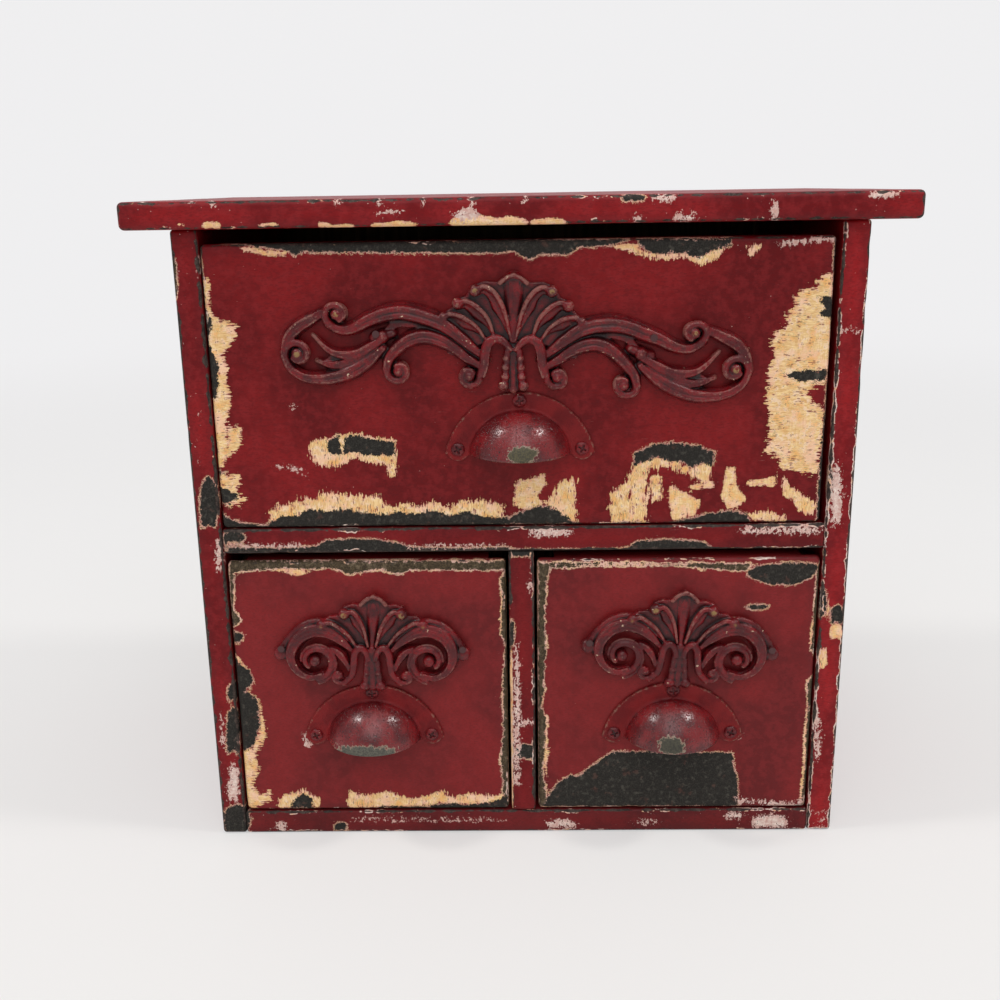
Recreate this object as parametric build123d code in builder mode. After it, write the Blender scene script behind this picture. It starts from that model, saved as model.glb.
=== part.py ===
from build123d import *
from math import cos, hypot, pi, radians, sin
import os

# A small tabletop chest for seed packets: one wide drawer over two narrow ones.
# Millimetres. +X right, +Y to the back, +Z up. The origin is the middle of the
# footprint of the case, on the surface that the chest stands on.

# ---- case ----
case_width = 227.5
case_depth = 146.0
side_height = 221.4          # floor to the underside of the top board
side_thickness = 9.0
top_thickness = 9.0
top_end_overhang = 14.6
top_front_overhang = 6.3
bottom_thickness = 9.0
shelf_thickness = 9.0
shelf_height = 110.4         # underside of the middle shelf
divider_thickness = 9.0
divider_shift = -0.4         # the divider stands a little left of the middle
back_thickness = 5.0
edge_round = 1.2             # worn edges of the case boards
top_edge_round = 1.8         # worn edges of the top board
corner_chamfer = 1.4         # worn front corners of the top board

# ---- running gaps round the drawers ----
running_gap = 0.4            # below a drawer
stop_gap = 0.3               # between a closed drawer and the back panel
front_recess = 0.3           # drawer fronts behind the front of the case
upper_left_gap = 0.4
upper_right_gap = 1.9
upper_top_gap = 4.8
lower_outer_gap = 0.7
lower_inner_gap = 1.0
lower_top_gap = 3.0

# ---- drawer boxes ----
front_thickness = 10.0
front_round = 1.8
drawer_side_thickness = 6.0
front_lap = 3.6              # of the front, left in front of the drawer sides
drawer_back_thickness = 6.0
drawer_side_drop = 6.0       # drawer sides lie lower than the top of the front
drawer_bottom_thickness = 3.0
groove_depth = 2.5
groove_height = 4.0          # lower edge of the front and sides to the groove
groove_gap = 0.2

# ---- cut nails, square in section ----
nail_width = 1.8
nail_length = 24.0
nail_gap = 0.1
nail_end_margin = 30.0       # first nail from the front or back edge
drawer_nail_length = 14.0
drawer_nail_margin = 16.0    # nails of a drawer from its top and bottom edge

# ---- cup pulls ----
cup_sides = 24               # facets right round the cup
cup_levels = (0, 18, 36, 52, 66, 80)         # degrees up its profile
hollow_levels = (0, 30, 55, 75)
cup_half_width = 17.4        # at the flange
cup_projection = 15.0
cup_rise = 15.5
cup_wall = 1.0
lip_drop = 1.6               # the open lip lies below the line of the lower screws
flange_thickness = 1.2
flange_rise = 19.5           # top of the flange above the line of the lower screws
ear_radius = 4.0
ear_spread = 21.1            # lower screws each side of the middle
top_screw_rise = 16.6
screw_head_radius = 2.4
screw_head_height = 1.3
screw_shank_radius = 1.1
screw_length = 8.0
recess_length = 2.2
recess_width = 0.6
recess_depth = 0.7
screw_gap = 0.2

# ---- cast ornaments ----
ornament_plate = 1.8         # thickness of the webs between the strands
ornament_relief = 6.0        # no strand stands higher
crest_share = 0.45           # width of the crest along a strand
shoulder_share = 0.7         # height of the strand beside its crest
crest_from = 3.5             # narrower strands have no crest
knob_sides = 8
coil_step = 34               # degrees between two points of a scroll
pin_head_radius = 1.2
pin_head_height = 0.9
pin_shank_radius = 0.6
pin_length = 7.0
pin_gap = 0.15
head_sides = 16              # facets round the heads of screws and pins
shank_sides = 6
pin_seat = 4.0               # height of the knobs that the pins hold

# ---- places on each drawer front ----
upper_pull_drop = 69.3       # line of the lower screws below the front's upper edge
upper_pull_shift = 0.4       # right of the front's middle
upper_ornament_shift = -1.4
upper_ornament_gap = 1.2     # flange of the pull to the foot of the ornament
upper_ornament_tilt = 1.5    # degrees, clockwise seen from the front
lower_pull_drop = 66.4
lower_left_pull_shift = 0.2
lower_right_pull_shift = -0.8
lower_ornament_gap = 0.4
lower_left_ornament_shift = 1.1
lower_right_ornament_shift = 0.2
lower_left_ornament_tilt = 0.8
lower_right_ornament_tilt = 3.0

# ---- worked out from the above ----
case_front = -case_depth / 2
case_back = case_depth / 2
panel_front = case_back - back_thickness
case_right = case_width / 2
inner_right = case_right - side_thickness
shelf_top = shelf_height + shelf_thickness
divider_left = divider_shift - divider_thickness / 2
divider_right = divider_shift + divider_thickness / 2
face = case_front + front_recess             # front of the drawer fronts
drawer_end = panel_front - stop_gap          # back of the drawer boxes
total_height = side_height + top_thickness

os.makedirs("parts", exist_ok=True)


def write(piece, name):
    """Label a finished piece and write it to its own file."""
    piece.part.label = name
    export_step(piece.part, f"parts/{name}.step")


def block(x, y, z, mode=Mode.ADD):
    """A box between a low and a high value on each axis."""
    middle = [(low + high) / 2 for low, high in (x, y, z)]
    size = [high - low for low, high in (x, y, z)]
    with Locations(tuple(middle)):
        Box(*size, mode=mode)


def nails(places, gap=0.0, mode=Mode.ADD):
    """Headless cut nails, or with a gap the holes that they lie in.

    Each place is the outer end of a nail, the axis that it runs along and its
    length, which is negative where it runs towards the lower end of that axis.
    """
    for start, axis, length in places:
        spans = [(value - nail_width / 2 - gap, value + nail_width / 2 + gap) for value in start]
        inner_end = start[axis] + length + (gap if length > 0 else -gap)
        spans[axis] = sorted((start[axis], inner_end))
        block(*spans, mode=mode)


# ---- nails of the case ----
nail_rows = (case_front + nail_end_margin, case_back - nail_end_margin)
cross_board_heights = (bottom_thickness / 2, shelf_height + shelf_thickness / 2)
side_nail_places = [
    ((side * case_right, y, z), 0, -side * nail_length)
    for side in (-1, 1)
    for y in nail_rows
    for z in cross_board_heights
]
top_nail_places = [
    ((side * (case_right - side_thickness / 2), y, total_height), 2, -nail_length)
    for side in (-1, 1)
    for y in nail_rows
]
back_nail_places = [
    ((side * (inner_right - nail_end_margin), case_back, z), 1, -nail_length)
    for side in (-1, 1)
    for z in cross_board_heights
]
divider_nail_places = [
    ((divider_shift, y, z), 2, length)
    for y in nail_rows
    for z, length in ((0, nail_length), (shelf_top, -nail_length))
]
nail_groups = {
    "side_nails": side_nail_places,
    "top_nails": top_nail_places,
    "back_nails": back_nail_places,
    "divider_nails": divider_nail_places,
}
for group, places in nail_groups.items():
    with BuildPart() as nail_group:
        nails(places)
    write(nail_group, group)

# ---- case boards ----
for name, side in (("left_side", -1), ("right_side", 1)):
    with BuildPart() as side_board:
        across = sorted((side * inner_right, side * case_right))
        block(across, (case_front, case_back), (0, side_height))
        upright = side_board.edges().filter_by(Axis.Z)
        outer = upright.group_by(Axis.X)[-1 if side > 0 else 0].sort_by(Axis.Y)[-1]
        fillet([*upright.group_by(Axis.Y)[0], outer], radius=edge_round)
        nails(side_nail_places + top_nail_places, nail_gap, Mode.SUBTRACT)
    write(side_board, name)

with BuildPart() as top_board:
    top_half = case_right + top_end_overhang
    top_front = case_front - top_front_overhang
    block((-top_half, top_half), (top_front, case_back), (side_height, total_height))
    chamfer(top_board.edges().filter_by(Axis.Z).group_by(Axis.Y)[0], length=corner_chamfer)
    for level in (0, -1):
        rim = top_board.faces().filter_by(Axis.Z).sort_by(Axis.Z)[level].edges()
        fillet(rim.sort_by(Axis.Y)[:-1], radius=top_edge_round)
    nails(top_nail_places, nail_gap, Mode.SUBTRACT)
write(top_board, "top_board")


def cross_board(name, low, high):
    """A board between the two sides, from the front of the case to the back panel."""
    with BuildPart() as board:
        block((-inner_right, inner_right), (case_front, panel_front), (low, high))
        fillet(board.edges().filter_by(Axis.X).group_by(Axis.Y)[0], radius=edge_round)
        nails(side_nail_places + back_nail_places + divider_nail_places, nail_gap, Mode.SUBTRACT)
    write(board, name)


cross_board("bottom_board", 0, bottom_thickness)
cross_board("middle_shelf", shelf_height, shelf_top)

with BuildPart() as centre_divider:
    block(
        (divider_left, divider_right),
        (case_front, panel_front),
        (bottom_thickness, shelf_height),
    )
    fillet(centre_divider.edges().filter_by(Axis.Z).group_by(Axis.Y)[0], radius=edge_round)
    nails(divider_nail_places, nail_gap, Mode.SUBTRACT)
write(centre_divider, "centre_divider")

with BuildPart() as back_panel:
    block((-inner_right, inner_right), (panel_front, case_back), (0, side_height))
    nails(back_nail_places, nail_gap, Mode.SUBTRACT)
write(back_panel, "back_panel")


# ---- fasteners, each along +Y with its seat on the plane y = 0 ----
def fastener(head_radius, head_height, shank_radius, length):
    """A round head in front of its seat and a shank behind it."""
    with BuildSketch(Plane.XZ) as head:
        RegularPolygon(head_radius, head_sides)
    extrude(head.sketch, amount=head_height)
    with BuildSketch(Plane.XZ) as shank:
        RegularPolygon(shank_radius, shank_sides)
    extrude(shank.sketch, amount=-length)


with BuildPart() as pull_screw:
    fastener(screw_head_radius, screw_head_height, screw_shank_radius, screw_length)
    with BuildSketch(Plane.XZ.offset(screw_head_height)):
        Rectangle(recess_length, recess_width)
        Rectangle(recess_width, recess_length)
    extrude(amount=-recess_depth, mode=Mode.SUBTRACT)

with BuildPart() as ornament_pin:
    fastener(pin_head_radius, pin_head_height, pin_shank_radius, pin_length)

# ---- cup pull: its flange lies on the plane y = 0, its lower screws on z = 0 ----
cup_radius = (cup_half_width**2 + cup_projection**2) / (2 * cup_projection)
cup_axis_y = cup_radius - cup_projection
arch_half = ear_spread + ear_radius
arch_radius = (arch_half**2 + flange_rise**2) / (2 * flange_rise)
screw_places = [(-ear_spread, 0), (ear_spread, 0), (0, top_screw_rise)]


def cup_body(levels, wall):
    """The domed body of the cup in flat facets, or with a wall its hollow."""
    rings = []
    for level in levels:
        reach = (cup_radius - wall) * cos(radians(level))
        height = (cup_rise - wall) * sin(radians(level)) - lip_drop
        turns = [2 * pi * side / cup_sides for side in range(cup_sides)]
        rings.append([(reach * cos(t), cup_axis_y + reach * sin(t), height) for t in turns])
    faces = [Face(Wire.make_polygon(ring)) for ring in (rings[0], rings[-1])]
    for low, high in zip(rings, rings[1:]):
        for side in range(cup_sides):
            after = (side + 1) % cup_sides
            corners = [low[side], low[after], high[after], high[side]]
            faces.append(Face(Wire.make_polygon(corners)))
    return Solid(Shell(faces))


with BuildPart() as cup_pull:
    add(cup_body(cup_levels, 0))
    split(bisect_by=Plane.XZ)
    with BuildSketch(Plane.XZ):
        with Locations((0, flange_rise - arch_radius)):
            Circle(arch_radius)
        with Locations((0, -lip_drop)):
            Rectangle(2 * arch_radius, 2 * arch_radius, align=(Align.CENTER, Align.MAX),
                      mode=Mode.SUBTRACT)
        with Locations((-ear_spread, 0), (ear_spread, 0)):
            Circle(ear_radius)
    extrude(amount=flange_thickness)
    add(cup_body(hollow_levels, cup_wall), mode=Mode.SUBTRACT)
    with BuildSketch(Plane.XZ):
        with Locations(*screw_places):
            RegularPolygon(screw_shank_radius + screw_gap, shank_sides)
    extrude(amount=flange_thickness, mode=Mode.SUBTRACT)


# ---- cast ornaments: each lies on the plane y = 0, its foot on z = 0, and its
# right half is drawn, (x, z), then mirrored ----
def coil(centre, radius, inner_radius, start, turn):
    """Points of a spiral about centre, from an angle through a turn in degrees."""
    steps = max(4, round(abs(turn) / coil_step))
    points = []
    for step in range(steps + 1):
        share = step / steps
        reach = radius + (inner_radius - radius) * share
        angle = radians(start + turn * share)
        points.append((centre[0] + reach * cos(angle), centre[1] + reach * sin(angle)))
    return points


def width_at(widths, share):
    """The width a share of the way along a strand, between the widths listed."""
    place = share * (len(widths) - 1)
    index = min(int(place), len(widths) - 2)
    return widths[index] + (widths[index + 1] - widths[index]) * (place - index)


def ribbon(points, widths, share, height):
    """A flat ribbon along a line of points, share times the widths wide."""
    left, right = [], []
    for index, (x, z) in enumerate(points):
        before = points[max(index - 1, 0)]
        after = points[min(index + 1, len(points) - 1)]
        run, rise = after[0] - before[0], after[1] - before[1]
        reach = share * width_at(widths, index / (len(points) - 1)) / 2 / hypot(run, rise)
        left.append((x - rise * reach, z + run * reach))
        right.append((x + rise * reach, z - run * reach))
    with BuildSketch(Plane.XZ) as outline:
        with BuildLine():
            Polyline(*left, *reversed(right), close=True)
        make_face()
    extrude(outline.sketch, amount=height)


def strand(points, widths, height):
    """A cast strand: a band, with a narrower crest along it where it is wide."""
    if max(widths) > crest_from:
        ribbon(points, widths, 1, shoulder_share * height)
        ribbon(points, widths, crest_share, height)
    else:
        ribbon(points, widths, 1, height)


def boss(centre, radius, height):
    """A knob."""
    with BuildSketch(Plane.XZ) as knob:
        with Locations(centre):
            RegularPolygon(radius, knob_sides)
    extrude(knob.sketch, amount=height)


def web(points):
    """The thin plate that the casting has between its strands."""
    with BuildSketch(Plane.XZ) as plate:
        with BuildLine():
            Polyline(*points, close=True)
        make_face()
    extrude(plate.sketch, amount=ornament_plate)


def ornament(half_strands, knobs, webs, middle_strands, pin_place):
    """A shell between two scrolled arms, in one casting."""
    with BuildPart() as casting:
        for points in webs:
            web(points)
        for points, widths, height in half_strands:
            strand(points, widths, height)
        for centre, radius, height in knobs:
            boss(centre, radius, height)
        mirror(about=Plane.YZ)
        for points, widths, height in middle_strands:
            strand(points, widths, height)
        with BuildSketch(Plane.XZ):
            with Locations(pin_place, (-pin_place[0], pin_place[1])):
                RegularPolygon(pin_shank_radius + pin_gap, shank_sides)
        extrude(amount=ornament_relief, mode=Mode.SUBTRACT)
    return casting.part


upper_scroll = coil((58.7, 23.6), 4.2, 1.4, -80, 330)
end_scroll = coil((71.4, 10.2), 4.6, 1.5, -60, 330)
drop_scroll = coil((38.8, 5.6), 4.2, 1.4, 10, -330)
foot_scroll = coil((14.9, 4.9), 3.9, 1.3, 188, 330)
upper_strands = [
    # lobes of the shell
    ([(0.9, 17.5), (2.6, 26), (5.8, 31.2), (12.3, 33.6)], (1.4, 3, 3.4, 3), 4.6),
    ([(5, 17.5), (9.8, 24.1), (18.3, 29)], (1.6, 3, 3), 4.4),
    ([(8.5, 16), (13.1, 21.5), (18.2, 24.6), (23.3, 24.4)], (1.8, 3, 3), 4.2),
    # arch over the open slot, and the foot scroll that it ends in
    ([(1.9, 13.1), (3.4, 16.5), (6.2, 17.3), (8.7, 14.1), (9.5, 9.5), (11.1, 3.8)], (2.2, 2.4), 4.8),
    (foot_scroll, (2.4, 1.4), 4.7),
    ([(9.6, 6.2), (14.6, 10.2), (21.1, 12.4)], (2.4, 3, 0.8), 3.6),
    # upper strand of the arm and its scroll
    ([(8.8, 11.4), (17, 16.6), (23.5, 21), (34, 24.4), (42.3, 24.5), (50, 21.6), (59.4, 19.4)],
     (2, 5, 5.6, 2.6), 4.8),
    (upper_scroll, (2.8, 1.6), 4.7),
    # lower strand and the drop scroll
    ([(9.2, 8.2), (17.5, 13.6), (25, 17.4), (33, 17.2), (39.5, 12.6), (43, 6.3)],
     (2, 6, 6, 2.8), 4.4),
    (drop_scroll, (2.6, 1.6), 4.3),
    # the two strands of the end loop, its scroll and the band that closes it
    ([(40.5, 13), (45.5, 14.4), (53, 10.6), (61, 11.2), (69.5, 19.4)], (3, 3.6, 3.6, 1.8), 4.4),
    ([(40.5, 12), (47.5, 9.2), (57, 3.8), (66, 3), (73.7, 6.2)], (3, 5, 4.6, 3), 4.8),
    (end_scroll, (2.8, 1.6), 4.7),
    ([(75.6, 11), (72.8, 17), (67.7, 21.3), (60.5, 26)], (2, 3, 3, 2), 3.8),
]
upper_knobs = [
    ((12.3, 33.4), 2.1, 5.6),
    ((18.3, 29), 2, 5.4),
    ((23.4, 24.4), 2.1, 5.4),
    ((14.9, 4.9), 1.8, 4.6),
    ((58.7, 23.6), 1.9, 4.6),
    ((71.4, 10.2), 2, 4.6),
    ((38.8, 5.6), 1.9, 4.4),
    ((45.6, 18), 2.6, pin_seat),
    ((2.4, 2.2), 2.6, 5.2),
]
upper_webs = [
    [(0, 16), (9, 16), (22.5, 24), (19.5, 30), (13.5, 34.6), (6, 36.6), (0, 38)],
    [(46, 12.5), (53, 9), (61, 9), (60, 5), (50, 8)],
]
upper_middle = [
    ([(0, 16.5), (0, 24), (0, 31), (0, 38.2)], (1.2, 6, 9, 6), 3.6),
    ([(0, 17), (0, 9), (0, 1.2)], (5.6, 5.2, 6), 4.6),
]
upper_pin_place = (45.6, 18)

lower_spiral = coil((20.6, 13.2), 9.2, 2.4, 120, -420)
lower_foot_scroll = coil((11.5, 6.2), 3.4, 1.2, 188, 300)
lower_strands = [
    ([(1, 17.5), (3.1, 26), (8.9, 31.2)], (1.4, 3, 3), 4.2),
    ([(5.4, 17.5), (8.8, 23.4), (17.2, 26.8)], (1.6, 3, 3), 4),
    ([(1.3, 13.1), (2, 15.9), (4.3, 17), (6.2, 13.7), (6.6, 9.5), (8.1, 5.4)], (2.2, 2.2), 4.2),
    (lower_foot_scroll, (2.2, 1.4), 4.1),
    ([(7, 9.5), (10.3, 13.2), (15.8, 16.6)], (2, 2.6, 0.8), 3.2),
    # the rim of the arm and the large scroll under it
    ([(7.2, 16.5), (13, 22.6), (18.2, 25.2), (23.5, 24.9), (29.1, 20.7), (32, 15.8)],
     (1.6, 3.2, 3, 2), 3.6),
    ([(7.4, 14), (11, 18.5), (16, 21.2)], (1.8, 3.6), 4.4),
    (lower_spiral, (4, 3.6, 1.8), 4.3),
]
lower_knobs = [
    ((8.9, 31.2), 2.1, 5),
    ((17.2, 26.8), 2.1, 5),
    ((20.6, 13.2), 2.4, 4.4),
    ((11.5, 6.2), 1.9, 4.6),
    ((32.2, 15), 2.3, pin_seat),
    ((2.8, 2.2), 2.4, 4.8),
]
lower_webs = [[(0, 16), (6, 16), (17, 26), (10.5, 32.6), (0, 35.6)]]
lower_middle = [
    ([(0, 16.5), (0, 26), (0, 35.8)], (1.2, 6, 7), 3.4),
    ([(0, 16), (0, 9), (0, 1.2)], (5.2, 4.8, 5.6), 4.2),
]
lower_pin_place = (32.2, 15)

upper_ornament = ornament(upper_strands, upper_knobs, upper_webs, upper_middle, upper_pin_place)
lower_ornament = ornament(lower_strands, lower_knobs, lower_webs, lower_middle, lower_pin_place)


# ---- drawers ----
def placed(places, tilt=0):
    """Locations on the drawer fronts, (x, z) each, with a tilt about the Y axis."""
    return Locations(*[Location((x, face, z), (0, tilt, 0)) for x, z in places])


def turned_place(centre, place, tilt):
    """Where a place of a tilted casting comes to lie on the front."""
    angle = radians(tilt)
    return (
        centre[0] + place[0] * cos(angle) + place[1] * sin(angle),
        centre[1] - place[0] * sin(angle) + place[1] * cos(angle),
    )


def drawer(name, x, z, pull_shift, pull_drop, shape, pin_place, shape_shift, shape_gap, tilt):
    """Every piece of one drawer, between two values of x and two of z."""
    middle = sum(x) / 2
    pull_place = (middle + pull_shift, z[1] - pull_drop)
    screws = [(pull_place[0] + px, pull_place[1] + pz) for px, pz in screw_places]
    shape_place = (middle + shape_shift, pull_place[1] + flange_rise + shape_gap)
    pins = [
        turned_place(shape_place, (side * pin_place[0], pin_place[1]), tilt)
        for side in (-1, 1)
    ]
    front_back = face + front_thickness
    lap_back = face + front_lap
    side_top = z[1] - drawer_side_drop
    groove = (z[0] + groove_height, z[0] + groove_height + drawer_bottom_thickness + groove_gap)
    box_inner = (x[0] + drawer_side_thickness, x[1] - drawer_side_thickness)
    bottom_x = (box_inner[0] - groove_depth, box_inner[1] + groove_depth)
    back_front = drawer_end - drawer_back_thickness
    drawer_nails = [
        ((edge, y, height), 0, direction * drawer_nail_length)
        for edge, direction in ((x[0], 1), (x[1], -1))
        for y in ((lap_back + front_back) / 2, (back_front + drawer_end) / 2)
        for height in (z[0] + drawer_nail_margin, side_top - drawer_nail_margin)
    ]

    with BuildPart() as front:
        block(x, (face, front_back), z)
        fillet(front.faces().sort_by(Axis.Y)[0].edges(), radius=front_round)
        for edge, inner in zip(x, box_inner):
            block(sorted((edge, inner)), (lap_back, front_back), z, Mode.SUBTRACT)
        block(bottom_x, (front_back - groove_depth, front_back), groove, Mode.SUBTRACT)
        with BuildSketch(Plane.XZ.offset(-face)):
            with Locations(*screws):
                RegularPolygon(screw_shank_radius + screw_gap, shank_sides)
        extrude(amount=-screw_length, mode=Mode.SUBTRACT)
        with BuildSketch(Plane.XZ.offset(-face)):
            with Locations(*pins):
                RegularPolygon(pin_shank_radius + pin_gap, shank_sides)
        extrude(amount=-pin_length, mode=Mode.SUBTRACT)
        nails(drawer_nails, nail_gap, Mode.SUBTRACT)
    write(front, f"{name}_drawer_front")

    for side, edge, inner in (("left", x[0], box_inner[0]), ("right", x[1], box_inner[1])):
        with BuildPart() as side_board:
            across = sorted((edge, inner))
            block(across, (lap_back, drawer_end), (z[0], side_top))
            block(bottom_x, (lap_back, drawer_end), groove, Mode.SUBTRACT)
            nails(drawer_nails, nail_gap, Mode.SUBTRACT)
        write(side_board, f"{name}_drawer_{side}_side")

    with BuildPart() as back_board:
        block(box_inner, (back_front, drawer_end), (groove[1], side_top))
        nails(drawer_nails, nail_gap, Mode.SUBTRACT)
    write(back_board, f"{name}_drawer_back")

    with BuildPart() as bottom:
        block(
            (bottom_x[0] + groove_gap, bottom_x[1] - groove_gap),
            (front_back - groove_depth + groove_gap, drawer_end),
            (groove[0], groove[0] + drawer_bottom_thickness),
        )
    write(bottom, f"{name}_drawer_bottom")

    with BuildPart() as nail_group:
        nails(drawer_nails)
    write(nail_group, f"{name}_drawer_nails")

    with BuildPart() as pull:
        with placed([pull_place]):
            add(cup_pull.part)
    write(pull, f"{name}_pull")

    with BuildPart() as pull_screws:
        with Locations(*[(sx, face - flange_thickness, sz) for sx, sz in screws]):
            add(pull_screw.part)
    write(pull_screws, f"{name}_pull_screws")

    with BuildPart() as casting:
        with placed([shape_place], tilt):
            add(shape)
    write(casting, f"{name}_ornament")

    with BuildPart() as pin_group:
        with Locations(*[(px, face - pin_seat, pz) for px, pz in pins]):
            add(ornament_pin.part)
    write(pin_group, f"{name}_ornament_pins")


lower_z = (bottom_thickness + running_gap, shelf_height - lower_top_gap)
drawer(
    "upper",
    (-inner_right + upper_left_gap, inner_right - upper_right_gap),
    (shelf_top + running_gap, side_height - upper_top_gap),
    upper_pull_shift, upper_pull_drop,
    upper_ornament, upper_pin_place,
    upper_ornament_shift, upper_ornament_gap, upper_ornament_tilt,
)
drawer(
    "lower_left",
    (-inner_right + lower_outer_gap, divider_left - lower_inner_gap),
    lower_z,
    lower_left_pull_shift, lower_pull_drop,
    lower_ornament, lower_pin_place,
    lower_left_ornament_shift, lower_ornament_gap, lower_left_ornament_tilt,
)
drawer(
    "lower_right",
    (divider_right + lower_inner_gap, inner_right - lower_outer_gap),
    lower_z,
    lower_right_pull_shift, lower_pull_drop,
    lower_ornament, lower_pin_place,
    lower_right_ornament_shift, lower_ornament_gap, lower_right_ornament_tilt,
)
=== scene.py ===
import math

import bpy
import numpy as np
import openvdb
from mathutils import Matrix, Vector


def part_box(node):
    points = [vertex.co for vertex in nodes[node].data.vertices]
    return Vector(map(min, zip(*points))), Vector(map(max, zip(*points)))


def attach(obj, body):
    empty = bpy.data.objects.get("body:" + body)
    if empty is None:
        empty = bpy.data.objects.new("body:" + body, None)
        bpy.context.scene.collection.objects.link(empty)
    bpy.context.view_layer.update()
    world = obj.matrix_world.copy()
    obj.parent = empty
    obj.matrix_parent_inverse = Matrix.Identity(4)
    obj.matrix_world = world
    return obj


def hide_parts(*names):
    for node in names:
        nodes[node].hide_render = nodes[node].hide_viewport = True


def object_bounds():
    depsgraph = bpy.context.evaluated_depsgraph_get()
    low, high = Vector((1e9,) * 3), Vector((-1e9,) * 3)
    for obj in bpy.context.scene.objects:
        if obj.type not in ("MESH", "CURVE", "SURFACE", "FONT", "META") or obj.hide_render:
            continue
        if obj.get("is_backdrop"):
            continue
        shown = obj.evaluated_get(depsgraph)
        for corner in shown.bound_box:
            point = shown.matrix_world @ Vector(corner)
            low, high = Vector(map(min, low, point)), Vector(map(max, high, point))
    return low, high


MM = 0.001
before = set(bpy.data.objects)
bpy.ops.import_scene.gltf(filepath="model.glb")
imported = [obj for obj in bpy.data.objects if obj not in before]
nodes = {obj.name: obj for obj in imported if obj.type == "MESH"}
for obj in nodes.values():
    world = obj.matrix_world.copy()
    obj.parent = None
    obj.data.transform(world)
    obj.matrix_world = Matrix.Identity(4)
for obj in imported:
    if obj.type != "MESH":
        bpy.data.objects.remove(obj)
cad_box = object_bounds()
scene = bpy.context.scene
scene.view_settings.view_transform = "Standard"


# ---------------------------------------------------------------- camera
CAMERA_PLACE = Vector((0.152, -449.695, 233.539)) * MM
CAMERA_PITCH, CAMERA_ROLL, CAMERA_YAW = 0.27037, -0.01626, -0.02015
CAMERA_FOCAL, PICTURE, SENSOR = 1134.08, 1000, 36   # pixels, pixels, millimetres


def add_camera():
    forward = Vector((math.sin(CAMERA_YAW) * math.cos(CAMERA_PITCH),
                      math.cos(CAMERA_YAW) * math.cos(CAMERA_PITCH), -math.sin(CAMERA_PITCH)))
    level = Vector((math.cos(CAMERA_YAW), -math.sin(CAMERA_YAW), 0))
    up = level.cross(forward)
    right = math.cos(CAMERA_ROLL) * level + math.sin(CAMERA_ROLL) * up
    top = -math.sin(CAMERA_ROLL) * level + math.cos(CAMERA_ROLL) * up
    data = bpy.data.cameras.new("camera")
    data.sensor_fit = "HORIZONTAL"
    data.sensor_width = SENSOR
    data.lens = CAMERA_FOCAL * SENSOR / PICTURE
    data.clip_start, data.clip_end = 0.01, 20
    camera = bpy.data.objects.new("camera", data)
    place = Matrix((right, top, -forward)).transposed().to_4x4()
    place.translation = CAMERA_PLACE
    camera.matrix_world = place
    scene.collection.objects.link(camera)
    scene.camera = camera


add_camera()


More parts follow.
